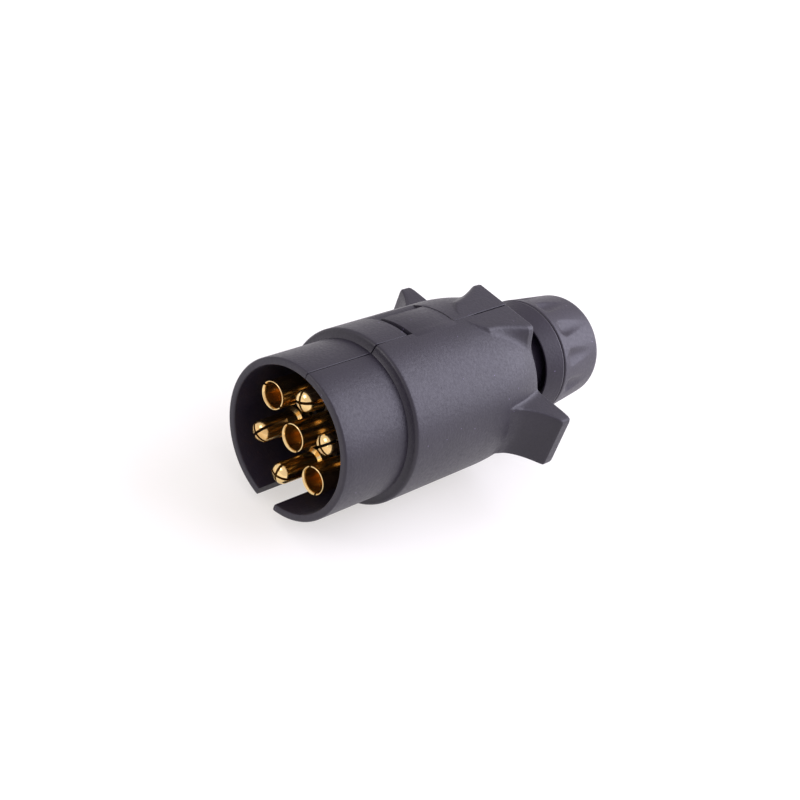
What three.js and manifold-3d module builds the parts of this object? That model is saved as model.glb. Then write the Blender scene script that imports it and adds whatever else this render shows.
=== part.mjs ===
// Seven-pole trailer wiring plug: a two-part clamshell housing round a contact carrier with four split
// pins and three socket tubes, each with a terminal screw, and a screwed cable gland at the back.
// Millimetres, +Z up. The plug's axis lies along Y with the mating end towards -Y; the keyway is at the
// bottom. The model is drawn from the mating rim at y = 0 with its axis at x = z = 0, and the group at the
// end moves it so that its origin is the middle of the footprint, on the surface that it rests on.
import * as THREE from 'three';
import { mergeVertices } from 'three/addons/utils/BufferGeometryUtils.js';
import Module from 'manifold-3d';

const wasm = await Module();
wasm.setup();

// ---- Driving dimensions -------------------------------------------------------------------------------
const FIT = 0.3; // gap between separate pieces that seat on or in each other
const SEAM = 0.3; // gap between the two shells

// Contacts
const CONTACT_PITCH_RADIUS = 11.4;
const PIN_RADIUS = 2.85;
const PIN_TIP_SETBACK = 0.8; // from the mating rim back to the pins' tips
const PIN_DOME_HEIGHT = 2.1;
const PIN_COLLAR_EXTRA = 0.3; // how far a pin's collar stands out from its shaft
const PIN_COLLAR_LENGTH = 3;
const PIN_COLLAR_GAP = 1.8; // from the collar's back to the carrier's boss
const PIN_NECK_CUT = 0.25; // how far the shank behind the collar is turned down
const SOCKET_RADIUS = 3.7;
const SOCKET_WALL = 0.6;
const SOCKET_DEPTH = 13;
const SOCKET_MOUTH_SETBACK = 2.4; // from the mating rim back to the sockets' mouths
const SLIT_WIDTH = 0.7;
const SLIT_LENGTH = 8.5;
const SHOULDER_EXTRA = 0.6; // how far a contact's shoulder stands out from a socket's outside
const SHOULDER_LENGTH = 2.5;
const TERMINAL_RADIUS = 3.35;
const TERMINAL_LENGTH = 13.5;
const CENTRE_TERMINAL_EXTRA = 5.5;
const WIRE_HOLE_RADIUS = 1.9;
const WIRE_HOLE_DEPTH = 9;
const TERMINAL_SCREW_RADIUS = 1.5;
const TERMINAL_SCREW_LENGTH = 3.2;
const TERMINAL_SCREW_PROUD = 0.7;
const TERMINAL_SCREW_CHAMFER = 0.3;
const SCREW_SLOT_WIDTH = 0.6;
const SCREW_SLOT_DEPTH = 0.8;
const SCREW_FROM_END = 4.2;

// Contact carrier
const BOSS_WALL = 1.0;
const BOSS_LENGTH = 4.7;
const BOSS_TO_SHROUD = 2.25;
const CARRIER_SETBACK = 0.8; // from the shroud's step to the carrier's face
const CARRIER_THICKNESS = 6.8;
const CARRIER_FLANGE_THICKNESS = 5;
const COUNTERBORE_DEPTH = SHOULDER_LENGTH + 2 * FIT;
const BACKPLATE_THICKNESS = 2.1;
const KEY_WIDTH = 3; // the lug that stops the carrier from turning
const KEY_HEIGHT = 1.1;

// Shells
const SHROUD_WALL = 2.0;
const SHROUD_LENGTH = 21.2;
const BARREL_STEP = 2.35; // how far the barrel stands out from the shroud
const BARREL_LENGTH = 50.8;
const BARREL_WALL = 2.25;
const KEYWAY_WIDTH = 6.5;
const KEYWAY_LENGTH = 16;
const DOME_LENGTH = 17; // the barrel's rounded back
const DOME_DROP = 2.4;
const EDGE_ROUND = 0.6;
const STEP_SLOPE = 0.4; // how far the step's face leans back over its height
const RIB_THICKNESS = 1.5;
const RIB_HEIGHT = 2.1;
const REAR_WALL = 7;
const WING_REACH = 8.6; // how far a wing stands out from the barrel
const WING_HALF_HEIGHT = 7.7;
const WING_LENGTH = 16;
const WING_TIP = 3.4; // thickness of a wing's tip
const WING_ROOT_INSET = 0.7; // from the barrel's outside in to where the wing's curve starts
const BLOCK_HALF_WIDTH = 10.6;
const BLOCK_LENGTH = 18;
const BLOCK_TIP = 2.2;
const PEG_RADIUS = 1.6;
const PEG_LENGTH = 3;
const PEG_WALL = 0.6; // between a peg's hole and the gland flange's groove

// Latch tongues of the right shell, in pockets of the left one
const LATCH_FROM_STEP = 12.7;
const LATCH_LENGTH = 16.4;
const LATCH_REACH = 10.5;
const LATCH_GAP = 0.7;
const LATCH_UNDERSIDE_DROP = 3.9; // from the barrel's top line down to the tongue's flat underside
const LATCH_FLOOR_GAP = 0.4;
const LATCH_PAD = 2.1; // wall under the pocket's floor
const LATCH_PAD_END = 1.5; // wall at the pocket's two ends

// Gland, from the cable outwards
const CABLE_HOLE_RADIUS = 4;
const SEAL_RADIUS = 7.7;
const SEAL_LENGTH = 8.8;
const SEAL_SETBACK = 1.9; // from the collar's back to the seal's sloping front
const SEAL_NOSE_LENGTH = 1.5;
const SEAL_NOSE_DROP = 1.8;
const SEAL_CHAMFER = 0.4;
const WASHER_HOLE_EXTRA = 0.8; // how much larger the washer's hole is than the seal's
const WASHER_THICKNESS = 1.4;
const SPIGOT_WALL = 2.2;
const THREAD_PITCH = 3;
const THREAD_DEPTH = 1.1;
const THREAD_BURIED = 0.2; // how far a ridge's root stands in its own wall
const SPIGOT_CHAMFER = 0.5;
const NUT_ENTRY_RADIUS = 5.4;
const NUT_MOUTH_RADIUS = 8.8;
const NUT_WALL_REAR = 2.9;
const NUT_END_THICKNESS = 6.8;
const NUT_MOUTH_DEPTH = 3.8;
const NUT_END_DROP = 2; // of the nut's rounded back edge
const NUT_END_LENGTH = 2.6; // of the same edge, along the axis
const NUT_SCALLOPS = 12;
const SCALLOP_DEPTH = 0.9;
const SCALLOP_RADIUS = 4.1;
const SCALLOP_FRONT_LAND = 2.2; // plain band in front of the scallops
const SCALLOP_TURN = -3.5; // degrees about Y from the top to the first scallop
const NECK_RADIUS = 13;
const NECK_WALL = 3.5;
const NECK_LENGTH = 11.5; // neck showing between the shells and the collar
const COLLAR_LENGTH = 5.6;
const COLLAR_FLARE = 1.9; // how much larger the collar is at its back than at its front
const COLLAR_CURVE = 1.6; // 1 would be a straight cone
const COLLAR_GROOVE = 1.2; // width of the groove between the neck and the collar's skirt
const COLLAR_WEB = 1.2; // solid part of the collar behind the groove
const COLLAR_SKIRT = 0.5; // thickness of the skirt's front edge
const GLAND_FLANGE_EXTRA = 2.8;
const GLAND_FLANGE_THICKNESS = 1.8;
const GLAND_FLANGE_INSET = 2.6; // from the shells' back face in to the flange
const GLAND_OVERHANG = 0.6; // how far the gland stands into the wiring space
const SEAT_STEP = 1.2; // the ledge that the seal is pressed against
const GLAND_BORE_SLOPE = 4; // length over which the bore narrows, under the collar's front

// ---- Worked out from them -----------------------------------------------------------------------------
const SHOULDER_RADIUS = SOCKET_RADIUS + SHOULDER_EXTRA;
const BOSS_RADIUS = SOCKET_RADIUS + FIT / 2 + BOSS_WALL;
const SHROUD_INSIDE = CONTACT_PITCH_RADIUS + BOSS_RADIUS + BOSS_TO_SHROUD;
const SHROUD_RADIUS = SHROUD_INSIDE + SHROUD_WALL;
const BARREL_RADIUS = SHROUD_RADIUS + BARREL_STEP;
const BARREL_INSIDE = BARREL_RADIUS - BARREL_WALL;
const BACK_PLANE = SHROUD_LENGTH + BARREL_LENGTH;
const DOME_START = BACK_PLANE - DOME_LENGTH;
const REAR_WALL_FRONT = BACK_PLANE - REAR_WALL;

const CARRIER_FRONT = SHROUD_LENGTH + CARRIER_SETBACK;
const CARRIER_BACK = CARRIER_FRONT + CARRIER_THICKNESS;
const FLANGE_FRONT = CARRIER_BACK - CARRIER_FLANGE_THICKNESS;
const FLANGE_RADIUS = BARREL_INSIDE - FIT;
const BACKPLATE_FRONT = CARRIER_BACK + FIT;
const BACKPLATE_BACK = BACKPLATE_FRONT + BACKPLATE_THICKNESS;
const RIB_FRONT = BACKPLATE_BACK + FIT;
const SHOULDER_FRONT = CARRIER_BACK - COUNTERBORE_DEPTH + FIT;
const SHOULDER_BACK = SHOULDER_FRONT + SHOULDER_LENGTH;
const TERMINAL_BACK = SHOULDER_BACK + TERMINAL_LENGTH;

const NECK_BORE_RADIUS = NECK_RADIUS + FIT;
const GLAND_FLANGE_RADIUS = NECK_RADIUS + GLAND_FLANGE_EXTRA;
const GLAND_FLANGE_BACK = BACK_PLANE - GLAND_FLANGE_INSET;
const GLAND_FLANGE_FRONT = GLAND_FLANGE_BACK - GLAND_FLANGE_THICKNESS;
const COLLAR_FRONT = BACK_PLANE + NECK_LENGTH;
const COLLAR_BACK = COLLAR_FRONT + COLLAR_LENGTH;
const SPIGOT_BORE_RADIUS = SEAL_RADIUS + FIT;
const SPIGOT_RADIUS = SPIGOT_BORE_RADIUS + SPIGOT_WALL;
const THREAD_CREST_RADIUS = SPIGOT_RADIUS + THREAD_DEPTH;
const NUT_BORE_RADIUS = THREAD_CREST_RADIUS + FIT;
const COLLAR_FRONT_RADIUS = NECK_RADIUS + COLLAR_GROOVE + COLLAR_SKIRT;
const NUT_FRONT_RADIUS = COLLAR_FRONT_RADIUS + COLLAR_FLARE;
const NUT_REAR_RADIUS = NUT_BORE_RADIUS + NUT_WALL_REAR;
const SEAL_FRONT = COLLAR_BACK + SEAL_SETBACK;
const SEAL_BACK = SEAL_FRONT + SEAL_LENGTH;
const WASHER_FRONT = SEAL_BACK + FIT;
const WASHER_BACK = WASHER_FRONT + WASHER_THICKNESS;
const SPIGOT_BACK = WASHER_BACK - FIT;
const NUT_FRONT = COLLAR_BACK + FIT;
const NUT_END_FRONT = WASHER_BACK + FIT;
const NUT_BACK = NUT_END_FRONT + NUT_END_THICKNESS;

// ---- Making solids ------------------------------------------------------------------------------------
// A closed three.js geometry as a manifold solid with its faces pointing out.
function solid(geometry) {
  const bare = geometry.clone();
  bare.deleteAttribute('normal');
  bare.deleteAttribute('uv');
  const merged = mergeVertices(bare, 1e-4);
  const vertProperties = new Float32Array(merged.attributes.position.array);
  const corners = Array.from(merged.index.array);
  const triVerts = [];
  for (let i = 0; i < corners.length; i += 3) {
    const [a, b, c] = corners.slice(i, i + 3);
    if (a !== b && b !== c && c !== a) triVerts.push(a, b, c);
  }
  const signedVolume = (tris) => {
    let sum = 0;
    const at = (v) => new THREE.Vector3().fromArray(vertProperties, 3 * v);
    for (let i = 0; i < tris.length; i += 3) {
      sum += at(tris[i]).dot(at(tris[i + 1]).cross(at(tris[i + 2])));
    }
    return sum;
  };
  if (signedVolume(triVerts) < 0) triVerts.reverse();
  return new wasm.Manifold(new wasm.Mesh({
    numProp: 3, vertProperties, triVerts: new Uint32Array(triVerts),
  }));
}

// A solid of revolution about Y from [radius, y] points.
function turned(points, segments) {
  const profile = points.map(([radius, y]) => new THREE.Vector2(radius, y));
  if (profile[0].x > 0) profile.push(profile[0].clone());
  return solid(new THREE.LatheGeometry(profile, segments));
}

function block(xMin, xMax, yMin, yMax, zMin, zMax) {
  const geometry = new THREE.BoxGeometry(xMax - xMin, yMax - yMin, zMax - zMin);
  geometry.translate((xMin + xMax) / 2, (yMin + yMax) / 2, (zMin + zMax) / 2);
  return solid(geometry);
}

// A rod along Y whose axis stands at (x, z).
function rod(radius, yMin, yMax, x = 0, z = 0, segments = 24) {
  const geometry = new THREE.CylinderGeometry(radius, radius, yMax - yMin, segments);
  geometry.translate(x, (yMin + yMax) / 2, z);
  return solid(geometry);
}

// A plan outline of [x, y] points carried straight up from zMin to zMax.
function plate(points, zMin, zMax) {
  const outline = new THREE.Shape(points.map(([x, y]) => new THREE.Vector2(x, y)));
  const geometry = new THREE.ExtrudeGeometry(outline, { depth: zMax - zMin, bevelEnabled: false });
  geometry.translate(0, 0, zMin);
  return solid(geometry);
}

// A right-hand helical ridge about Y. It reaches from rootRadius to crestRadius, and is widest at its root.
function threadRidge(rootRadius, crestRadius, yStart, turns, phase) {
  const STEPS_PER_TURN = 20;
  const ROOT_HALF_WIDTH = 0.25 * THREAD_PITCH;
  const CREST_HALF_WIDTH = 0.13 * THREAD_PITCH;
  const section = [
    [rootRadius, -ROOT_HALF_WIDTH], [crestRadius, -CREST_HALF_WIDTH],
    [crestRadius, CREST_HALF_WIDTH], [rootRadius, ROOT_HALF_WIDTH],
  ];
  const steps = Math.round(turns * STEPS_PER_TURN);
  const positions = [];
  for (let i = 0; i <= steps; i += 1) {
    const turn = i / STEPS_PER_TURN;
    const angle = 2 * Math.PI * turn + phase;
    for (const [radius, dy] of section) {
      positions.push(radius * Math.sin(angle), yStart + THREAD_PITCH * turn + dy, radius * Math.cos(angle));
    }
  }
  const index = [0, 1, 2, 0, 2, 3];
  const last = 4 * steps;
  index.push(last, last + 2, last + 1, last, last + 3, last + 2);
  for (let i = 0; i < steps; i += 1) {
    for (let side = 0; side < 4; side += 1) {
      const a = 4 * i + side;
      const b = 4 * i + ((side + 1) % 4);
      index.push(a, a + 4, b, b, a + 4, b + 4);
    }
  }
  const geometry = new THREE.BufferGeometry();
  geometry.setAttribute('position', new THREE.Float32BufferAttribute(positions, 3));
  geometry.setIndex(index);
  return solid(geometry);
}

// A named mesh of a solid, in its own material.
function piece(name, shape, finish) {
  const { vertProperties, triVerts } = shape.getMesh();
  const geometry = new THREE.BufferGeometry();
  geometry.setAttribute('position', new THREE.BufferAttribute(new Float32Array(vertProperties), 3));
  geometry.setIndex(new THREE.BufferAttribute(new Uint32Array(triVerts), 1));
  geometry.computeVertexNormals();
  const mesh = new THREE.Mesh(geometry, new THREE.MeshStandardMaterial(finish));
  mesh.name = name;
  return mesh;
}

const SHELL_PLASTIC = { color: 0x56535a, roughness: 0.55, metalness: 0 };
const NUT_PLASTIC = { color: 0x5d5a61, roughness: 0.5, metalness: 0 };
const CARRIER_PLASTIC = { color: 0x17161a, roughness: 0.5, metalness: 0 };
const BRASS = { color: 0xd9b36a, roughness: 0.25, metalness: 1 };
const SCREW_STEEL = { color: 0xb8bac0, roughness: 0.35, metalness: 1 };
const SEAL_RUBBER = { color: 0x202022, roughness: 0.85, metalness: 0 };
const WASHER_PLASTIC = { color: 0xd8d4c8, roughness: 0.5, metalness: 0 };

// ---- Housing ------------------------------------------------------------------------------------------
const SHELL_SEGMENTS = 48;

// Radius of the outside at y, on the barrel and its rounded back.
function barrelRadius(y) {
  const along = Math.max(0, y - DOME_START) / DOME_LENGTH;
  return BARREL_RADIUS - DOME_DROP * along ** 2.2;
}

function housingOutside() {
  const profile = [
    [0, 0],
    [SHROUD_RADIUS - EDGE_ROUND, 0],
    [SHROUD_RADIUS, EDGE_ROUND],
    [SHROUD_RADIUS, SHROUD_LENGTH],
    [BARREL_RADIUS - EDGE_ROUND, SHROUD_LENGTH + STEP_SLOPE],
    [BARREL_RADIUS, SHROUD_LENGTH + STEP_SLOPE + EDGE_ROUND],
  ];
  const DOME_STEPS = 5;
  for (let i = 0; i <= DOME_STEPS; i += 1) {
    const y = DOME_START + ((DOME_LENGTH - EDGE_ROUND) * i) / DOME_STEPS;
    profile.push([barrelRadius(y), y]);
  }
  profile.push([barrelRadius(BACK_PLANE) - EDGE_ROUND, BACK_PLANE], [0, BACK_PLANE]);
  return turned(profile, SHELL_SEGMENTS);
}

function housingCavity() {
  const ribRadius = BARREL_INSIDE - RIB_HEIGHT;
  const ribBack = RIB_FRONT + RIB_THICKNESS;
  const grooveRadius = GLAND_FLANGE_RADIUS + FIT;
  const PAST = 1;
  return turned([
    [0, -PAST],
    [SHROUD_INSIDE, -PAST],
    [SHROUD_INSIDE, FLANGE_FRONT - FIT],
    [BARREL_INSIDE, FLANGE_FRONT - FIT],
    [BARREL_INSIDE, RIB_FRONT],
    [ribRadius, RIB_FRONT],
    [ribRadius, ribBack],
    [BARREL_INSIDE, ribBack],
    [BARREL_INSIDE, DOME_START],
    [barrelRadius(REAR_WALL_FRONT) - BARREL_WALL, REAR_WALL_FRONT],
    [NECK_BORE_RADIUS, REAR_WALL_FRONT],
    [NECK_BORE_RADIUS, GLAND_FLANGE_FRONT - FIT],
    [grooveRadius, GLAND_FLANGE_FRONT - FIT],
    [grooveRadius, GLAND_FLANGE_BACK + FIT],
    [NECK_BORE_RADIUS, GLAND_FLANGE_BACK + FIT],
    [NECK_BORE_RADIUS, BACK_PLANE + PAST],
    [0, BACK_PLANE + PAST],
  ], SHELL_SEGMENTS);
}

// Finger wing on one side: its front face is a hollow curve from the barrel out to the tip.
function wing(side) {
  const reach = BARREL_RADIUS + WING_REACH;
  const tipFront = BACK_PLANE - WING_TIP;
  const rootFront = BACK_PLANE - WING_LENGTH;
  const rootX = BARREL_RADIUS - WING_ROOT_INSET;
  const CURVE_STEPS = 8;
  const HOLLOW = 2.2; // 1 would be a straight slope
  const outline = [[SHROUD_INSIDE, BACK_PLANE], [SHROUD_INSIDE, rootFront], [rootX, rootFront]];
  for (let i = 1; i <= CURVE_STEPS; i += 1) {
    const along = i / CURVE_STEPS;
    const x = rootX + (reach - rootX) * along ** HOLLOW;
    outline.push([x, rootFront + (tipFront - rootFront) * along]);
  }
  outline.push([reach, BACK_PLANE - EDGE_ROUND], [reach - EDGE_ROUND, BACK_PLANE]);
  const mirrored = outline.map(([x, y]) => [side * x, y]);
  return plate(mirrored, -WING_HALF_HEIGHT, WING_HALF_HEIGHT);
}

// Flat-topped block on the top or the bottom, level with the barrel's outermost line.
function seamBlock(side) {
  const tipFront = BACK_PLANE - BLOCK_TIP;
  const front = BACK_PLANE - BLOCK_LENGTH;
  const CURVE_STEPS = 8;
  const NOSE_SHARE = 0.56; // of the width is reached over the rounded nose
  const NOSE_LENGTH = 0.25; // of the block's length
  const FLARE = 1.6; // how late the rest of the width comes
  const half = [];
  for (let i = 0; i <= CURVE_STEPS; i += 1) {
    const along = i / CURVE_STEPS;
    const nose = NOSE_SHARE * Math.sqrt(Math.min(1, along / NOSE_LENGTH));
    const halfWidth = BLOCK_HALF_WIDTH * (nose + (1 - NOSE_SHARE) * along ** FLARE);
    half.push([halfWidth, front + (tipFront - front) * along]);
  }
  half.push([BLOCK_HALF_WIDTH, BACK_PLANE]);
  const outline = [...half, ...half.slice(1).reverse().map(([x, y]) => [-x, y])];
  const bottom = GLAND_FLANGE_RADIUS - 1;
  return side > 0
    ? plate(outline, bottom, BARREL_RADIUS)
    : plate(outline, -BARREL_RADIUS, -bottom);
}

const FAR = 200;
const latchFront = SHROUD_LENGTH + LATCH_FROM_STEP;
const latchBack = latchFront + LATCH_LENGTH;
const latchUnderside = BARREL_RADIUS - LATCH_UNDERSIDE_DROP;
const pocketFloor = latchUnderside - LATCH_FLOOR_GAP;
const pocketReach = Math.sqrt(BARREL_RADIUS ** 2 - pocketFloor ** 2);

// A box between two heights above the axis, for side = 1, or the same below it, for side = -1.
function sideBox(xMin, xMax, yMin, yMax, near, far, side) {
  return side > 0
    ? block(xMin, xMax, yMin, yMax, near, far)
    : block(xMin, xMax, yMin, yMax, -far, -near);
}

function makeShells() {
  const outside = housingOutside();
  let body = outside.add(wing(1)).add(wing(-1)).add(seamBlock(1)).add(seamBlock(-1));
  body = body.subtract(housingCavity());
  const halfKeyway = KEYWAY_WIDTH / 2;
  body = body.subtract(block(-halfKeyway, halfKeyway, -1, KEYWAY_LENGTH, -FAR, -SHROUD_INSIDE / 2));
  const halfKey = KEY_WIDTH / 2 + FIT;
  const keyFloor = FLANGE_RADIUS + KEY_HEIGHT + FIT;
  body = body.subtract(block(-halfKey, halfKey, FLANGE_FRONT - FIT, CARRIER_BACK + FIT, -keyFloor, 0));

  let left = body.subtract(block(-SEAM / 2, FAR, -FAR, FAR, -FAR, FAR));
  let right = body.subtract(block(-FAR, SEAM / 2, -FAR, FAR, -FAR, FAR));
  const padUnderside = pocketFloor - LATCH_PAD;
  const padEnd = LATCH_GAP + LATCH_PAD_END;
  for (const side of [1, -1]) {
    const pad = sideBox(-pocketReach - 1, -SEAM / 2, latchFront - padEnd, latchBack + padEnd,
      padUnderside, BARREL_RADIUS, side).intersect(outside);
    const pocket = sideBox(-FAR, 0, latchFront - LATCH_GAP, latchBack + LATCH_GAP, pocketFloor, FAR, side);
    left = left.add(pad).subtract(pocket);
    const root = sideBox(SEAM / 2, LATCH_REACH / 2, latchFront, latchBack, latchUnderside, FAR, side);
    const tongue = sideBox(-LATCH_REACH, SEAM, latchFront, latchBack, latchUnderside, FAR, side);
    right = right.add(root.add(tongue).intersect(outside));
    const pegZ = side * (GLAND_FLANGE_RADIUS + FIT + PEG_WALL + FIT + PEG_RADIUS);
    const pegY = BACK_PLANE - REAR_WALL / 2;
    right = right.add(crossRod(PEG_RADIUS, -PEG_LENGTH, 1, pegY, pegZ));
    left = left.subtract(crossRod(PEG_RADIUS + FIT, -PEG_LENGTH - FIT, 1, pegY, pegZ));
  }
  return { left, right };
}

// A rod along X.
function crossRod(radius, xMin, xMax, y, z) {
  const geometry = new THREE.CylinderGeometry(radius, radius, xMax - xMin, 16);
  geometry.rotateZ(Math.PI / 2);
  geometry.translate((xMin + xMax) / 2, y, z);
  return solid(geometry);
}

// ---- Contacts and their carrier -----------------------------------------------------------------------
// Each contact's angle runs from +X towards +Z. slit is the turn of its slits about its own axis.
const CONTACTS = [
  { name: 'pin_top', kind: 'pin', angle: 90, slit: 27 },
  { name: 'pin_upper_right', kind: 'pin', angle: 30, slit: 50 },
  { name: 'pin_bottom', kind: 'pin', angle: 270, slit: 94 },
  { name: 'pin_lower_left', kind: 'pin', angle: 210, slit: 62 },
  { name: 'socket_upper_left', kind: 'socket', angle: 150, slit: 161 },
  { name: 'socket_lower_right', kind: 'socket', angle: 330, slit: 126 },
  { name: 'socket_centre', kind: 'socket', angle: null, slit: 140 },
];

for (const contact of CONTACTS) {
  const isCentre = contact.angle === null;
  const angle = THREE.MathUtils.degToRad(isCentre ? 90 : contact.angle);
  const pitch = isCentre ? 0 : CONTACT_PITCH_RADIUS;
  contact.x = pitch * Math.cos(angle);
  contact.z = pitch * Math.sin(angle);
  contact.outward = angle; // the way its terminal screw faces
  contact.back = TERMINAL_BACK + (isCentre ? CENTRE_TERMINAL_EXTRA : 0);
  contact.bore = (contact.kind === 'pin' ? PIN_RADIUS + PIN_COLLAR_EXTRA : SOCKET_RADIUS) + FIT / 2;
  contact.screwY = contact.back - SCREW_FROM_END;
}

// The back of every contact: a shoulder that the carrier traps and a barrel for the wire.
function contactTail(contact) {
  return [
    [SHOULDER_RADIUS, SHOULDER_FRONT],
    [SHOULDER_RADIUS, SHOULDER_BACK],
    [TERMINAL_RADIUS, SHOULDER_BACK],
    [TERMINAL_RADIUS, contact.back],
    [WIRE_HOLE_RADIUS, contact.back],
    [WIRE_HOLE_RADIUS, contact.back - WIRE_HOLE_DEPTH],
    [0, contact.back - WIRE_HOLE_DEPTH],
  ];
}

function pinBody(contact) {
  const boss = CARRIER_FRONT - BOSS_LENGTH;
  const collarBack = boss - PIN_COLLAR_GAP;
  const collarFront = collarBack - PIN_COLLAR_LENGTH;
  const shank = PIN_RADIUS - PIN_NECK_CUT;
  const profile = [];
  const DOME_STEPS = 4;
  for (let i = 0; i <= DOME_STEPS; i += 1) {
    const turn = (Math.PI / 2) * (i / DOME_STEPS);
    const y = PIN_TIP_SETBACK + PIN_DOME_HEIGHT * (1 - Math.cos(turn));
    profile.push([PIN_RADIUS * Math.sin(turn), y]);
  }
  profile.push(
    [PIN_RADIUS, collarFront],
    [PIN_RADIUS + PIN_COLLAR_EXTRA, collarFront],
    [PIN_RADIUS + PIN_COLLAR_EXTRA, collarBack],
    [shank, collarBack],
    [shank, SHOULDER_FRONT],
    ...contactTail(contact),
  );
  const half = SLIT_WIDTH / 2;
  const slitBack = PIN_TIP_SETBACK + SLIT_LENGTH;
  const across = block(-FAR, FAR, 0, slitBack, -half, half);
  const upright = block(-half, half, 0, slitBack, -FAR, FAR);
  return turned(profile, 20).subtract(across).subtract(upright);
}

function socketBody(contact) {
  const inside = SOCKET_RADIUS - SOCKET_WALL;
  const profile = [
    [0, SOCKET_MOUTH_SETBACK + SOCKET_DEPTH],
    [inside, SOCKET_MOUTH_SETBACK + SOCKET_DEPTH],
    [inside, SOCKET_MOUTH_SETBACK],
    [SOCKET_RADIUS, SOCKET_MOUTH_SETBACK],
    [SOCKET_RADIUS, SHOULDER_FRONT],
    ...contactTail(contact),
  ];
  const half = SLIT_WIDTH / 2;
  const slits = block(-FAR, FAR, 0, SOCKET_MOUTH_SETBACK + SLIT_LENGTH, -half, half);
  return turned(profile, 24).subtract(slits);
}

// The contact is drawn about its own axis, so the screw hole is turned back by the slit's angle.
function makeContact(contact) {
  const body = contact.kind === 'pin' ? pinBody(contact) : socketBody(contact);
  const hole = new THREE.CylinderGeometry(
    TERMINAL_SCREW_RADIUS + FIT, TERMINAL_SCREW_RADIUS + FIT, 2 * TERMINAL_RADIUS, 16,
  );
  hole.rotateZ(-Math.PI / 2);
  hole.translate(TERMINAL_RADIUS, contact.screwY, 0);
  hole.rotateY(-contact.outward + THREE.MathUtils.degToRad(contact.slit));
  const mesh = piece(contact.name, body.subtract(solid(hole)), BRASS);
  mesh.position.set(contact.x, 0, contact.z);
  mesh.rotation.y = -THREE.MathUtils.degToRad(contact.slit);
  return mesh;
}

// A slotted grub screw, drawn along +Y with its slot up, then laid along its contact's outward line.
function makeTerminalScrew(contact) {
  const radius = TERMINAL_SCREW_RADIUS;
  const top = TERMINAL_RADIUS + TERMINAL_SCREW_PROUD;
  const bottom = top - TERMINAL_SCREW_LENGTH;
  const chamfer = TERMINAL_SCREW_CHAMFER;
  const body = turned([
    [0, bottom], [radius - chamfer, bottom], [radius, bottom + chamfer],
    [radius, top - chamfer], [radius - chamfer, top], [0, top],
  ], 14);
  const halfSlot = SCREW_SLOT_WIDTH / 2;
  const slot = block(-halfSlot, halfSlot, top - SCREW_SLOT_DEPTH, top + 1, -FAR, FAR);
  const name = contact.name.replace(/^(pin|socket)/, 'terminal_screw');
  const mesh = piece(name, body.subtract(slot), SCREW_STEEL);
  mesh.position.set(contact.x, contact.screwY, contact.z);
  mesh.rotation.order = 'YXZ';
  mesh.rotation.set(0, -contact.outward, -Math.PI / 2);
  return mesh;
}

function makeCarrier() {
  const plug = SHROUD_INSIDE - FIT;
  let body = turned([
    [0, CARRIER_FRONT], [plug, CARRIER_FRONT], [plug, FLANGE_FRONT],
    [FLANGE_RADIUS, FLANGE_FRONT], [FLANGE_RADIUS, CARRIER_BACK], [0, CARRIER_BACK],
  ], SHELL_SEGMENTS);
  for (const { x, z } of CONTACTS) {
    body = body.add(rod(BOSS_RADIUS, CARRIER_FRONT - BOSS_LENGTH, CARRIER_BACK, x, z));
  }
  const halfKey = KEY_WIDTH / 2;
  const keyEnd = FLANGE_RADIUS + KEY_HEIGHT;
  body = body.add(block(-halfKey, halfKey, FLANGE_FRONT, CARRIER_BACK, -keyEnd, -FLANGE_RADIUS / 2));
  for (const { x, z, bore } of CONTACTS) {
    body = body.subtract(rod(bore, 0, CARRIER_BACK + 1, x, z));
    const counterbore = SHOULDER_RADIUS + FIT;
    body = body.subtract(rod(counterbore, CARRIER_BACK - COUNTERBORE_DEPTH, CARRIER_BACK + 1, x, z));
  }
  return piece('contact_carrier', body, CARRIER_PLASTIC);
}

function makeBackplate() {
  let body = rod(FLANGE_RADIUS, BACKPLATE_FRONT, BACKPLATE_BACK, 0, 0, SHELL_SEGMENTS);
  for (const { x, z } of CONTACTS) {
    body = body.subtract(rod(TERMINAL_RADIUS + FIT, 0, BACKPLATE_BACK + 1, x, z));
  }
  return piece('carrier_backplate', body, CARRIER_PLASTIC);
}

// ---- Gland --------------------------------------------------------------------------------------------
const GLAND_SEGMENTS = 32;
const NUT_SEGMENTS = 48;
const THREAD_TURNS = (SPIGOT_BACK - COLLAR_BACK - THREAD_PITCH) / THREAD_PITCH;
const THREAD_START = COLLAR_BACK + THREAD_PITCH / 2;

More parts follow.
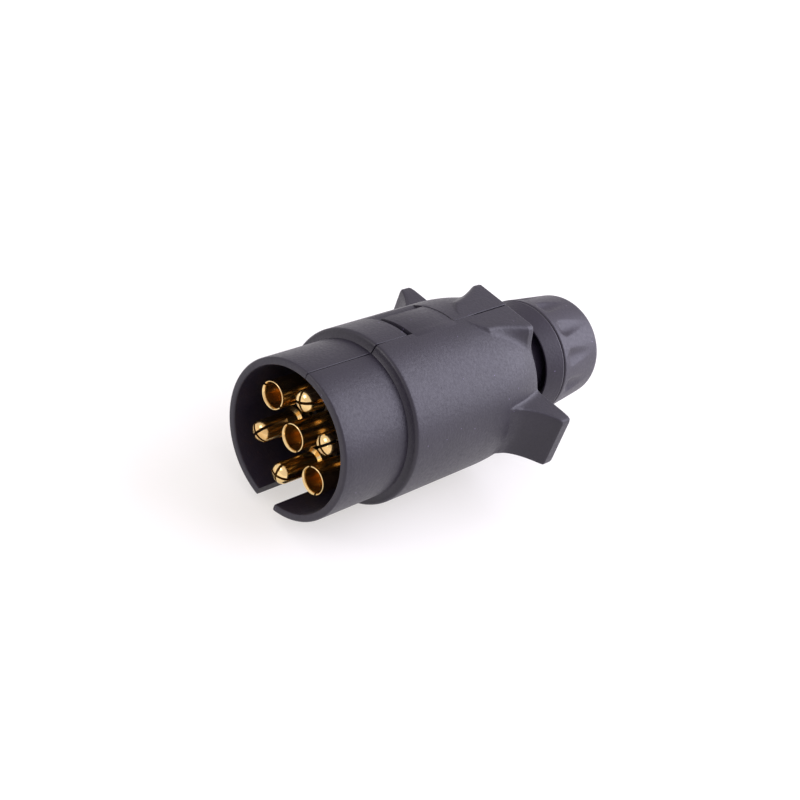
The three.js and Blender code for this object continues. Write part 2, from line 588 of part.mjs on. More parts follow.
function makeGlandBody() {
  const wireWay = NECK_RADIUS - NECK_WALL;
  const seat = SEAL_RADIUS - SEAT_STEP;
  const frontEnd = REAR_WALL_FRONT - GLAND_OVERHANG;
  const grooveBack = COLLAR_BACK - COLLAR_WEB;
  const grooveRadius = NECK_RADIUS + COLLAR_GROOVE;
  const COLLAR_STEPS = 3;
  const collar = [];
  for (let i = 0; i <= COLLAR_STEPS; i += 1) {
    const along = i / COLLAR_STEPS;
    const radius = NUT_FRONT_RADIUS - COLLAR_FLARE * (1 - along) ** COLLAR_CURVE;
    collar.push([radius, COLLAR_FRONT + (COLLAR_LENGTH - EDGE_ROUND) * along]);
  }
  const core = turned([
    [wireWay, frontEnd],
    [NECK_RADIUS, frontEnd],
    [NECK_RADIUS, GLAND_FLANGE_FRONT],
    [GLAND_FLANGE_RADIUS, GLAND_FLANGE_FRONT],
    [GLAND_FLANGE_RADIUS, GLAND_FLANGE_BACK],
    [NECK_RADIUS, GLAND_FLANGE_BACK],
    [NECK_RADIUS, grooveBack],
    [grooveRadius, grooveBack],
    [grooveRadius, COLLAR_FRONT],
    ...collar,
    [NUT_FRONT_RADIUS - EDGE_ROUND, COLLAR_BACK],
    [SPIGOT_RADIUS, COLLAR_BACK],
    [SPIGOT_RADIUS, SPIGOT_BACK - SPIGOT_CHAMFER],
    [SPIGOT_RADIUS - SPIGOT_CHAMFER, SPIGOT_BACK],
    [SPIGOT_BORE_RADIUS, SPIGOT_BACK],
    [SPIGOT_BORE_RADIUS, SEAL_FRONT - FIT],
    [seat, SEAL_FRONT - FIT - SEAT_STEP],
    [seat, COLLAR_FRONT + GLAND_BORE_SLOPE / 2],
    [wireWay, COLLAR_FRONT - GLAND_BORE_SLOPE / 2],
  ], GLAND_SEGMENTS);
  const root = SPIGOT_RADIUS - THREAD_BURIED;
  const thread = threadRidge(root, THREAD_CREST_RADIUS, THREAD_START, THREAD_TURNS, 0);
  return piece('gland_body', core.add(thread), SHELL_PLASTIC);
}

function makeSeal() {
  const noseFront = SEAL_FRONT - 0.4 * SEAL_NOSE_LENGTH;
  return piece('cable_seal', turned([
    [CABLE_HOLE_RADIUS, noseFront],
    [SEAL_RADIUS - SEAL_NOSE_DROP, noseFront],
    [SEAL_RADIUS, noseFront + SEAL_NOSE_LENGTH],
    [SEAL_RADIUS, SEAL_BACK - SEAL_CHAMFER],
    [SEAL_RADIUS - SEAL_CHAMFER, SEAL_BACK],
    [CABLE_HOLE_RADIUS, SEAL_BACK],
  ], 24), SEAL_RUBBER);
}

function makeWasher() {
  const hole = CABLE_HOLE_RADIUS + WASHER_HOLE_EXTRA;
  return piece('slip_washer', turned([
    [hole, WASHER_FRONT],
    [SEAL_RADIUS, WASHER_FRONT],
    [SEAL_RADIUS, WASHER_BACK],
    [hole, WASHER_BACK],
  ], 24), WASHER_PLASTIC);
}

// Outside radius of the nut at y, on its straight taper.
function nutRadius(y) {
  const along = (y - NUT_FRONT) / (NUT_BACK - NUT_FRONT);
  return NUT_FRONT_RADIUS + (NUT_REAR_RADIUS - NUT_FRONT_RADIUS) * along;
}

function makeNut() {
  const profile = [
    [NUT_BORE_RADIUS, NUT_FRONT],
    [nutRadius(NUT_FRONT) - EDGE_ROUND, NUT_FRONT],
    [nutRadius(NUT_FRONT + EDGE_ROUND), NUT_FRONT + EDGE_ROUND],
  ];
  const endStart = NUT_BACK - NUT_END_LENGTH;
  const END_STEPS = 3;
  for (let i = 0; i <= END_STEPS; i += 1) {
    const turn = (Math.PI / 2) * (i / END_STEPS);
    const radius = nutRadius(endStart) - NUT_END_DROP * (1 - Math.cos(turn));
    profile.push([radius, endStart + NUT_END_LENGTH * Math.sin(turn)]);
  }
  profile.push(
    [NUT_MOUTH_RADIUS, NUT_BACK],
    [NUT_ENTRY_RADIUS, NUT_BACK - NUT_MOUTH_DEPTH],
    [NUT_ENTRY_RADIUS, NUT_END_FRONT],
    [NUT_BORE_RADIUS, NUT_END_FRONT],
  );
  let body = turned(profile, NUT_SEGMENTS);
  const taper = Math.atan2(NUT_FRONT_RADIUS - NUT_REAR_RADIUS, NUT_BACK - NUT_FRONT);
  const scallopFront = NUT_FRONT + SCALLOP_FRONT_LAND + 0.6 * SCALLOP_RADIUS;
  const cutter = new THREE.CapsuleGeometry(SCALLOP_RADIUS, 2 * (NUT_BACK - scallopFront), 3, 14);
  cutter.translate(0, NUT_BACK - scallopFront, 0);
  cutter.rotateX(-taper);
  cutter.translate(0, scallopFront, nutRadius(scallopFront) - SCALLOP_DEPTH + SCALLOP_RADIUS);
  for (let i = 0; i < NUT_SCALLOPS; i += 1) {
    const turnedCutter = cutter.clone();
    turnedCutter.rotateY((2 * Math.PI * i) / NUT_SCALLOPS);
    body = body.subtract(solid(turnedCutter));
  }
  const root = NUT_BORE_RADIUS + THREAD_BURIED;
  const thread = threadRidge(root, SPIGOT_RADIUS + FIT, THREAD_START, THREAD_TURNS, Math.PI);
  return piece('gland_nut', body.rotate([0, SCALLOP_TURN, 0]).add(thread), NUT_PLASTIC);
}

// ---- The plug -----------------------------------------------------------------------------------------
const plug = new THREE.Group();
plug.position.set(0, -NUT_BACK / 2, BARREL_RADIUS);

const shells = makeShells();
plug.add(piece('left_shell', shells.left, SHELL_PLASTIC));
plug.add(piece('right_shell', shells.right, SHELL_PLASTIC));

const insert = new THREE.Group();
insert.add(makeCarrier());
insert.add(makeBackplate());
for (const contact of CONTACTS) {
  insert.add(makeContact(contact));
  insert.add(makeTerminalScrew(contact));
}
plug.add(insert);

const gland = new THREE.Group();
gland.add(makeGlandBody());
gland.add(makeSeal());
gland.add(makeWasher());
gland.add(makeNut());
plug.add(gland);

plug.updateMatrixWorld(true);

export default plug;
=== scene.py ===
"""Looks of the seven-pole trailer plug: shells, gland, nut and contacts as worked-out surfaces."""

import math
from types import SimpleNamespace

import bmesh
import bpy
import numpy as np
from mathutils import Matrix, Vector


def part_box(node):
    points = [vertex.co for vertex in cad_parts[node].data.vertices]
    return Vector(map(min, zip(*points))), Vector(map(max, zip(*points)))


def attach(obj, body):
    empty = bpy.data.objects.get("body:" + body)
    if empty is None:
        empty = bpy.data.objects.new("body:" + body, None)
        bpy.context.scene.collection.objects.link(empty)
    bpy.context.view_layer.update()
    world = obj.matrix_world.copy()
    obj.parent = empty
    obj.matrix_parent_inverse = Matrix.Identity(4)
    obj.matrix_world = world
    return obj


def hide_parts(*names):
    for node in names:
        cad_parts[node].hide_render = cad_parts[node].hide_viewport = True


bl_info = {
    "name": "Seven-pole trailer plug",
    "version": (1, 0, 0),
    "blender": (4, 5, 0),
    "location": "View3D > Sidebar > Trailer plug",
    "description": "Builds the clamshell, gland, nut and contacts of a seven-pole trailer plug",
    "category": "Object",
}

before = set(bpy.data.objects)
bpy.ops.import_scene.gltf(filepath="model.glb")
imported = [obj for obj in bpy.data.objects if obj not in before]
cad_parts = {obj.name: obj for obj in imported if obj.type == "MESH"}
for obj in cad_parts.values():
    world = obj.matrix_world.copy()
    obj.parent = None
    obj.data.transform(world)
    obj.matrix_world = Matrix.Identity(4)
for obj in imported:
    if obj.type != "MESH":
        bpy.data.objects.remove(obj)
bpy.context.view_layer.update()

# The plug is worked out in millimetres from its mating rim, with its axis at x = z = 0. The frame says
# where that rim and that axis lie.
LEFT_LOW, LEFT_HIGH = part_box("left_shell")
NUT_LOW, NUT_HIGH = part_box("gland_nut")
RIM = Vector((0.0, LEFT_LOW.y, (LEFT_LOW.z + LEFT_HIGH.z) / 2))
BARREL_RADIUS = (LEFT_HIGH.z - LEFT_LOW.z) / 2
BACK_PLANE = LEFT_HIGH.y - LEFT_LOW.y
NUT_FRONT = NUT_LOW.y - LEFT_LOW.y
NUT_BACK = NUT_HIGH.y - LEFT_LOW.y
WING_TIP = -LEFT_LOW.x

# Places and sizes that stay where the frame has them, in millimetres from the rim or from the axis.
SHARP = math.radians(32)  # two faces that meet at more than this show an edge
EDGE = 0.02  # length over which a square edge inside a shell jumps
RIM_ROUND = 0.6  # radius of the shroud's front edge
LIP_ROUND = 0.9  # radius of the step's edge
LEDGE_BACK = 23.5  # back of the ledge that the carrier's face stands against
RIB_FRONT, RIB_BACK = 31.5, 33.0  # ring that holds the backplate
PAD_BACK = 52.5  # back of the pads under the latch pockets
NARROWING = 55.0  # where the space for the cores starts to narrow
REAR_WALL = 65.0  # front of the shells' rear wall
GROOVE_FRONT, GROOVE_BACK = 67.3, 69.7  # groove for the gland's flange
NECK_BORE, GROOVE_BORE = 13.3, 16.1  # radii of the hole for the neck and of the groove
POCKET_FLOOR, PAD_UNDERSIDE, TONGUE_UNDERSIDE = 18.55, 16.45, 18.95  # heights at a latch
WING_LENGTH, WING_RISE = 16.0, 12.4  # a wing from the back plane, and the part that its curve takes
BLOCK_LENGTH, BLOCK_FLARE = 18.0, 15.8  # a seam block from the back plane, and its widening part
SHOULDER_FRONT, SHOULDER_BACK = 26.0, 28.5  # the shoulder that holds a contact in the carrier
TERMINAL_RADIUS, WIRE_HOLE_RADIUS, WIRE_HOLE_DEPTH = 3.35, 1.9, 9.0
OUTER_TERMINAL_BACK, CENTRE_TERMINAL_BACK = 42.0, 47.5

# ---- Sizes and colours that a user may change ----


def length(name, text, metres):
    return bpy.props.FloatProperty(
        name=name, description=text, default=metres, unit="LENGTH", precision=5, min=0.0
    )


def number(name, text, value, low=0.0, high=1.0, unit="NONE"):
    return bpy.props.FloatProperty(
        name=name, description=text, default=value, min=low, max=high, unit=unit
    )


def angle(name, text, degrees):
    return number(name, text, math.radians(degrees), -2 * math.pi, 2 * math.pi, "ROTATION")


def linear(code):
    """An sRGB hex code such as #3a3a3a as linear red, green and blue."""
    parts = np.array([int(code[i : i + 2], 16) for i in (1, 3, 5)]) / 255
    return tuple(np.where(parts <= 0.04045, parts / 12.92, ((parts + 0.055) / 1.055) ** 2.4))


def colour(name, text, code):
    return bpy.props.FloatVectorProperty(
        name=name, description=text, default=linear(code), subtype="COLOR", size=3, min=0.0, max=1.0
    )


class ShellSizes(bpy.types.PropertyGroup):
    """Sizes of the two shells"""

    barrel_radius: length("Barrel radius", "Outside of the barrel", BARREL_RADIUS)
    barrel_wall: length("Barrel wall", "Thickness of the barrel", 0.00225)
    shroud_radius: length("Shroud radius", "Outside of the shroud", BARREL_RADIUS - 0.00235)
    shroud_wall: length("Shroud wall", "Thickness of the shroud", 0.002)
    shroud_length: length("Shroud length", "From the rim to the step", 0.0212)
    back: length("Back plane", "From the rim to the shells' back face", BACK_PLANE)
    keyway_width: length("Keyway width", "Width of the slot in the shroud", 0.0065)
    keyway_length: length("Keyway length", "Length of the slot in the shroud", 0.016)
    dome_length: length("Dome length", "Length of the barrel's rounded back", 0.017)
    dome_drop: length("Dome drop", "How much smaller the barrel is at its back", 0.0024)
    wing_tip: length("Wing reach", "From the axis to a wing's tip", WING_TIP)
    wing_half_height: length("Wing half height", "From a wing's middle to its edge", 0.0077)
    block_half_width: length("Block half width", "From the seam to a block's side", 0.0106)
    seam: length("Seam", "Gap between the two shells", 0.0003)
    latch_front: length("Latch front", "From the rim to the latch tongues", 0.035)
    latch_length: length("Latch length", "Length of a tongue along the axis", 0.0155)
    latch_reach: length("Latch reach", "From the seam to a tongue's tip", 0.0105)


class ContactSizes(bpy.types.PropertyGroup):
    """Sizes of the pins and sockets"""

    pitch_radius: length("Pitch radius", "Circle on which the outer contacts stand", 0.0114)
    pin_radius: length("Pin radius", "Radius of a pin's shaft", 0.00285)
    pin_tip: length("Pin setback", "From the rim to a pin's tip", 0.0008)
    pin_dome: length("Pin dome", "Height of a pin's rounded tip", 0.0021)
    collar_front: length("Collar front", "From the rim to a pin's collar", 0.0125)
    collar_back: length("Collar back", "From the rim to the collar's back", 0.0155)
    collar_extra: length("Collar step", "How far a collar stands out", 0.0008)
    socket_radius: length("Socket radius", "Outside of a socket tube", 0.0037)
    socket_wall: length("Socket wall", "Thickness of a socket tube", 0.0006)
    socket_mouth: length("Socket setback", "From the rim to a socket's mouth", 0.0024)
    socket_depth: length("Socket depth", "Depth of a socket's bore", 0.013)
    slit_width: length("Slit width", "Width of a slit", 0.0007)
    slit_length: length("Slit length", "Length of a slit", 0.0085)


class GlandSizes(bpy.types.PropertyGroup):
    """Sizes of the cable gland and its nut"""

    neck_radius: length("Neck radius", "Outside of the neck", 0.013)
    collar_front: length("Collar front", "From the rim to the collar", 0.0835)
    collar_back: length("Collar back", "From the rim to the collar's back", 0.0891)
    spigot_radius: length("Spigot radius", "Outside of the spigot under its thread", 0.0102)
    spigot_back: length("Spigot back", "From the rim to the spigot's end", 0.1012)
    thread_pitch: length("Thread pitch", "Lead of the gland's thread", 0.003)
    thread_depth: length("Thread depth", "Height of the thread", 0.0011)
    seal_radius: length("Seal radius", "Outside of the rubber seal", 0.0077)
    cable_radius: length("Cable hole", "Radius of the hole in the seal", 0.004)
    nut_front: length("Nut front", "From the rim to the nut", NUT_FRONT)
    nut_back: length("Nut back", "From the rim to the nut's end", NUT_BACK)
    nut_front_radius: length("Nut front radius", "Outside of the nut at its front", 0.0166)
    nut_rear_radius: length("Nut rear radius", "Outside of the nut at its back", 0.0145)
    nut_bore: length("Nut bore", "Inside of the nut round its thread", 0.0116)
    nut_entry: length("Cable entry", "Radius of the hole in the nut", 0.0054)
    scallop_radius: length("Scallop radius", "Radius of a finger hollow", 0.0041)
    scallop_depth: length("Scallop depth", "Depth of a finger hollow", 0.0009)


class Finishes(bpy.types.PropertyGroup):
    """Colours and gloss of the materials"""

    shell: colour("Shell", "Charcoal of the moulded shells", "#1c1724")
    nut: colour("Nut", "Charcoal of the gland and its nut", "#221c2a")
    # The carrier's black is partly its own colour and partly painted shade: it is darker than the shells
    # so that the inside of the shroud looks shaded.
    carrier: colour("Carrier", "Black of the contact carrier, darkened as painted shade inside the shroud", "#0b0a0d")
    brass: colour("Brass", "Polished brass", "#eecf92")
    tarnish: colour("Tarnish", "Brass where it has dulled", "#c68f4c")
    steel: colour("Screws", "Zinc-plated steel", "#b9babd")
    rubber: colour("Rubber", "Rubber of the seal", "#1c1c1e")
    nylon: colour("Nylon", "Natural nylon of the washer", "#d9d3c2")
    shell_roughness: number("Shell roughness", "0 is gloss, 1 is matt", 0.46)
    brass_roughness: number("Brass roughness", "0 is mirror, 1 is matt", 0.16)


class StageSettings(bpy.types.PropertyGroup):
    """Floor, light and camera"""

    floor: colour("Floor", "Opal sheet that the plug lies on", "#b4b4b4")
    table: number("Table light", "How brightly the floor shines by itself", 0.52, 0.0, 4.0)
    table_tone: colour("Table tone", "Colour of the light under the floor", "#fffbf6")
    sky: number("Surround", "Strength of the light from all round", 0.938, 0.0, 4.0)
    sky_tone: colour("Surround tone", "Colour of the light from all round", "#fdf8ff")
    key: number("Key light", "Large softbox behind the plug", 9.0, 0.0, 200.0, "POWER")
    key_tone: colour("Key tone", "Colour of the large softbox", "#eceaff")
    front: number("Front light", "Small softbox in front", 1.5, 0.0, 200.0, "POWER")
    front_tone: colour("Front tone", "Colour of the small softbox", "#fffcf9")
    azimuth: angle("Azimuth", "How far round the camera stands from the mating end", 33.24)
    elevation: angle("Elevation", "How far the camera stands above the horizon", 34.13)
    roll: angle("Roll", "How far the camera leans", 21.02)
    distance: length("Distance", "From the camera to its target", 0.34843)
    lens: number("Lens", "Focal length on a 36 mm sensor", 63.28, 10.0, 300.0, "CAMERA")


GROUPS = {
    "plug_shell": ShellSizes,
    "plug_contacts": ContactSizes,
    "plug_gland": GlandSizes,
    "plug_finish": Finishes,
    "plug_stage": StageSettings,
}


def sizes(group):
    """The lengths of a property group in millimetres."""
    values = getattr(bpy.context.scene, group)
    return SimpleNamespace(**{k: 1000 * getattr(values, k) for k in GROUPS[group].__annotations__})


def finishes():
    return bpy.context.scene.plug_finish


# ---- Surfaces ----


def quads(rows, columns, wrap_rows=False, wrap_columns=False):
    """Four-sided faces between neighbouring points of a grid, joined round where it wraps."""
    i = np.arange(rows if wrap_rows else rows - 1)[:, None]
    j = np.arange(columns if wrap_columns else columns - 1)[None, :]
    next_i = (i + 1) % rows
    next_j = (j + 1) % columns
    corners = (i * columns + j, i * columns + next_j, next_i * columns + next_j, next_i * columns + j)
    return np.stack(np.broadcast_arrays(*corners), -1).reshape(-1, 4).tolist()


def capped(rows, count):
    """Faces of a tube whose rows each close on themselves, with its two ends filled."""
    last = (rows - 1) * count
    return quads(rows, count, False, True) + [list(range(count)), list(range(last, last + count))]


def rounded(corners, steps=4):
    """A profile whose corners are arcs. A corner is (radius, y, round): its arc touches both edges at
    round / tan(half the corner's angle) from the corner, and is centred on the line that halves it."""
    flat = np.array([c[:2] for c in corners], float)
    pieces = []
    for here, before, after, (_, _, size) in zip(
        flat, np.roll(flat, 1, 0), np.roll(flat, -1, 0), corners
    ):
        if size == 0:
            pieces.append(here[None])
            continue
        a = (before - here) / np.linalg.norm(before - here)
        b = (after - here) / np.linalg.norm(after - here)
        half = math.acos(np.clip(a @ b, -1, 1)) / 2
        centre = here + (a + b) / np.linalg.norm(a + b) * size / math.sin(half)
        first = here + a * size / math.tan(half) - centre
        last = here + b * size / math.tan(half) - centre
        sweep = math.pi - 2 * half
        t = np.linspace(0, 1, steps + 1)[:, None]
        arc = (np.sin((1 - t) * sweep) * first + np.sin(t * sweep) * last) / math.sin(sweep)
        pieces.append(centre + arc)
    return np.concatenate(pieces)


def polar(radius, around, y):
    """Points at x = radius cos a and z = radius sin a."""
    return np.stack(np.broadcast_arrays(radius * np.cos(around), y, radius * np.sin(around)), -1)


def lathe(profile, segments, closed=True):
    """A profile of (radius, y) points turned about the axis. One that isn't closed starts and ends on
    the axis."""
    around = np.linspace(0, 2 * math.pi, segments, endpoint=False)[:, None]
    points = polar(profile[:, 0], around, profile[:, 1])
    return points.reshape(-1, 3), quads(segments, len(profile), True, closed)


def walled(outside, inside, wrap=False):
    """A wall between two grids of points, rows along the axis and columns round it. Its loop runs back
    along the outside and forward along the inside, so both ends are closed. Where it doesn't wrap,
    its first and last columns are closed by faces from the outside to the inside."""
    rows, columns, _ = outside.shape
    loop = np.concatenate([outside, inside[::-1]])
    faces = quads(2 * rows, columns, True, wrap)
    if not wrap:
        for column in (0, columns - 1):
            out = np.arange(rows - 1)
            end = [out, out + 1, 2 * rows - 2 - out, 2 * rows - 1 - out]
            faces += (np.stack(end, -1) * columns + column).tolist()
    return loop.reshape(-1, 3), faces


def bar(section, y, inset):
    """A closed outline in x and z carried along y. At each y it has shrunk by its inset along its own
    normals, which rounds the ends."""
    along = np.roll(section, -1, 0) - np.roll(section, 1, 0)
    x, z = section[:, 0], section[:, 1]
    turn = np.sign(np.sum(x * np.roll(z, -1) - np.roll(x, -1) * z))
    normal = np.stack([along[:, 1], -along[:, 0]], -1) * turn
    normal /= np.maximum(np.linalg.norm(normal, axis=1, keepdims=True), 1e-9)
    rows = section[None] - normal[None] * np.asarray(inset, float)[:, None, None]
    depth = np.broadcast_to(np.asarray(y, float)[:, None], rows.shape[:2])
    points = np.stack([rows[..., 0], depth, rows[..., 1]], -1)
    return points.reshape(-1, 3), capped(len(y), len(section))


def ridge(root, crest, start, turns, phase, pitch):
    """A four-cornered section carried up a right-hand helix: x = r sin a, z = r cos a, and y climbs by
    one pitch a turn. Its height grows from nothing over the first and the last quarter turn."""
    steps = int(round(turns * 60))
    turn = np.linspace(0, turns, steps + 1)[:, None]
    height = np.minimum(1, np.minimum(turn, turns - turn) / 0.25) * 0.98 + 0.02
    r = np.array([[0, 1, 1, 0]]) * (crest - root) * height + root
    y = start + pitch * turn + pitch * np.array([[-0.25, -0.13, 0.13, 0.25]])
    a = 2 * math.pi * turn + phase
    points = np.stack([r * np.sin(a), y, r * np.cos(a)], -1)
    return points.reshape(-1, 3), capped(steps + 1, 4)


def placed(part, x, z, turn=0.0):
    """A part turned about its own axis, x towards z, and carried to (x, z)."""
    points, faces = part
    c, s = math.cos(turn), math.sin(turn)
    across, up = points[:, 0], points[:, 2]
    moved = [across * c - up * s + x, points[:, 1], across * s + up * c + z]
    return np.stack(moved, -1), faces


def new_object(name, data):
    """An object at the origin, in the scene's own collection."""
    made = bpy.data.objects.new(name, data)
    bpy.context.scene.collection.objects.link(made)
    return made


def make_piece(name, parts, body, slot, finish, nodes):
    """One object from closed parts in plug millimetres, with its faces outwards."""
    points, faces, start = [], [], 0
    for part_points, part_faces in parts:
        points.append(part_points)
        faces += [[start + corner for corner in face] for face in part_faces]
        start += len(part_points)
    metres = np.concatenate(points) / 1000 + np.array(RIM)
    mesh = bpy.data.meshes.new(name)
    mesh.from_pydata(metres.tolist(), [], faces)
    work = bmesh.new()
    work.from_mesh(mesh)
    bmesh.ops.remove_doubles(work, verts=work.verts, dist=2e-6)
    bmesh.ops.recalc_face_normals(work, faces=work.faces)
    work.to_mesh(mesh)
    work.free()
    mesh.shade_smooth()
    mesh.set_sharp_from_angle(angle=SHARP)
    mesh.materials.append(finish)
    piece = new_object(name, mesh)
    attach(piece, body)
    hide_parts(*nodes)


# ---- Shells ----


def smooth_max(a, b, k):
    """The larger of two values, with a fillet of size k where they are close."""
    k = np.maximum(k, 1e-6)
    return np.maximum(a, b) + np.maximum(k - np.abs(a - b), 0) ** 2 / (4 * k)


def box_line(angle, half_x, half_z, power=32):
    """Distance from the axis to a box with rounded corners: the power mean of its two faces."""
    across = np.abs(np.cos(angle)) / half_x
    up = np.abs(np.sin(angle)) / half_z
    return (across**power + up**power) ** (-1 / power)


def block_width(y, s):
    """Half width of a seam block: a square-root nose over its first quarter, then a slow flare."""
    along = np.clip((y - (s.back - BLOCK_LENGTH)) / BLOCK_FLARE, 0, 1)
    return s.block_half_width * (0.56 * np.sqrt(np.minimum(1, 4 * along)) + 0.44 * along**1.6)


def block_line(angle, y, outer, s):
    """Distance from the axis to a seam block: flat on top as far as its edge, then a hollow side that
    falls as the 2.4 power of what is left of the way to its foot."""
    width = block_width(y, s)
    crown = s.barrel_radius / np.maximum(np.abs(np.sin(angle)), 0.05)
    rise = np.maximum(np.hypot(width, s.barrel_radius) - outer, 0)
    along = (np.arctan2(s.barrel_radius, width) - np.abs(angle)) / block_foot(rise, outer)
    side = outer + rise * np.clip(1 - along, 0, None) ** 2.4
    return -smooth_max(-crown, -side, 2.4 * np.clip(0.6 * rise, 0, 1))


def block_foot(rise, outer):
    """Angle that a block's hollow side takes up: its rise and a bit, over the radius at its foot."""
    return (1 + 1.1 * rise) / outer


def wing_line(y, s):
    """Reach of a wing: a hollow curve, the 2.6 power of the way along, up to its rounded tip."""
    along = np.clip((y - (s.back - WING_LENGTH)) / WING_RISE, 0, 1.4)
    root = s.barrel_radius - 0.7
    curve = root + (s.wing_tip - root) * along**2.6 - 1.3 * np.clip(1 - along, 0, 1) ** 4
    reach = -smooth_max(-curve, -s.wing_tip, 0.6)
    end = np.clip((y - (s.back - 0.6)) / 0.6, 0, 1)
    return reach - 0.6 * (1 - np.sqrt(1 - end**2))


def shell_stations(s):
    """Rows along the axis: y, outside radius before wings and blocks, inside radius, share of the
    latch pocket's depth, whether the pocket's pad stands inside, and whether the keyway is open. A
    rounded edge is a quarter circle; a square one jumps over a length of EDGE."""
    bore = s.shroud_radius - s.shroud_wall
    inside = s.barrel_radius - s.barrel_wall
    step = s.shroud_length
    top = s.barrel_radius
    rows = []

    def row(y, outer, inner, cut=0.0, pad=0.0, key=0.0):
        rows.append((y, outer, inner, cut, pad, key))

    for t in np.linspace(0, math.pi / 2, 6):
        y, dip = RIM_ROUND * (1 - math.cos(t)), RIM_ROUND * (1 - math.sin(t))
        row(y, s.shroud_radius - dip, bore + 0.7 * dip, key=1)
    for y in (4, 8, 12, s.keyway_length - 0.01):
        row(y, s.shroud_radius, bore, key=1)
    for y in (s.keyway_length, 18, step - 0.5, step):
        row(y, s.shroud_radius, bore)
    # the step's face, then its lip
    row(step + 0.12, s.shroud_radius + 0.15, bore)
    for t in np.linspace(0, math.pi / 2, 7):
        y = step + 0.55 + LIP_ROUND * (1 - math.cos(t))
        row(y, top - LIP_ROUND * (1 - math.sin(t)), bore)
    row(LEDGE_BACK, top, bore)
    row(LEDGE_BACK + EDGE, top, inside)
    row(27, top, inside)
    row(RIB_FRONT - EDGE, top, inside)
    row(RIB_FRONT, top, bore, pad=1)
    row(RIB_BACK, top, bore, pad=1)
    row(RIB_BACK + EDGE, top, inside, pad=1)
    # a latch pocket, 1.9 longer than the tongue in front and 0.1 behind
    front, back = s.latch_front - 1.9, s.latch_front + s.latch_length + 0.1
    for y, cut in ((front - 0.12, 0.0), (front - 0.04, 0.02), (front, 0.05), (front + 0.02, 1.0)):
        row(y, top, inside, cut, 1)
    for y in np.linspace(front + 1, back - 1, 8):
        row(y, top, inside, 1, 1)
    for y, cut in ((back - 0.02, 1.0), (back, 0.05), (back + 0.04, 0.02), (back + 0.12, 0.0)):
        row(y, top, inside, cut, 1)
    row(PAD_BACK, top, inside, pad=1)
    row(PAD_BACK + EDGE, top, inside)

    def dome(y):
        """The barrel's rounded back drops as the 2.2 power of the way along it."""
        along = np.clip((y - (s.back - s.dome_length)) / s.dome_length, 0, None)
        return top - s.dome_drop * along**2.2

    def hollow(y):
        """The space for the cores narrows evenly, to a wall's thickness inside the dome."""
        along = np.clip((y - NARROWING) / (REAR_WALL - NARROWING), 0, 1)
        return inside - (inside - dome(REAR_WALL) + s.barrel_wall) * along

    for y in np.arange(53, REAR_WALL - 0.1, 0.25):
        row(y, dome(y), hollow(y))
    row(REAR_WALL - EDGE, dome(REAR_WALL), hollow(REAR_WALL))
    for y in np.arange(REAR_WALL, GROOVE_FRONT - 0.1, 0.25):
        row(y, dome(y), NECK_BORE)
    row(GROOVE_FRONT - EDGE, dome(GROOVE_FRONT - EDGE), NECK_BORE)
    for y in np.arange(GROOVE_FRONT, GROOVE_BACK - 0.1, 0.25):
        row(y, dome(y), GROOVE_BORE)
    row(GROOVE_BACK - EDGE, dome(GROOVE_BACK - EDGE), GROOVE_BORE)
    for y in np.arange(GROOVE_BACK, s.back - 0.6, 0.2):
        row(y, dome(y), NECK_BORE)
    for t in np.linspace(0, math.pi / 2, 6):
        y = s.back - 0.5 * (1 - math.sin(t))
        row(y, dome(y) - 0.5 * (1 - math.cos(t)), NECK_BORE + 0.4 * (1 - math.cos(t)))
    return [np.array(column)[:, None] for column in zip(*rows)]


def shell_columns(y, outer, key, s):
    """Angles of the columns from the upper seam to the lower one, 0 at +X. The lines follow a block's
    upper and lower edges and a wing's upper and lower edges along the axis, and crowd towards them."""
    width = np.maximum(block_width(y, s), 3.0)
    edge = np.arctan2(s.barrel_radius, width)
    crease = edge - block_foot(np.hypot(width, s.barrel_radius) - outer, outer)
    wing = wing_line(y, s)
    tip = np.arctan2(s.wing_half_height, wing)
    root = np.maximum(np.arcsin(s.wing_half_height / outer) + 0.04, tip + 0.03)
    side = np.full_like(y, math.radians(38))
    zero = np.zeros_like(y)
    seam_top = np.arccos(0.8 / outer)
    seam_low = np.arccos((0.8 + key * (s.keyway_width - s.seam) / 2) / outer)
    edge_low = np.minimum(edge, seam_low - 0.02)
    crease_low = np.minimum(crease, edge_low - 0.02)
    knots = [seam_top, edge, crease, side, root, tip, zero, -tip, -root, -side, -crease_low, -edge_low]
    knots.append(-seam_low)
    counts = (10, 12, 26, 12, 12, 8, 8, 12, 12, 26, 12, 10)
    columns = []
    for start, end, count in zip(knots, knots[1:], counts):
        share = (1 - np.cos(np.pi * np.arange(count)[None] / count)) / 2
        columns.append(start + (end - start) * share)
    columns.append(knots[-1])
    return np.concatenate(columns, 1)


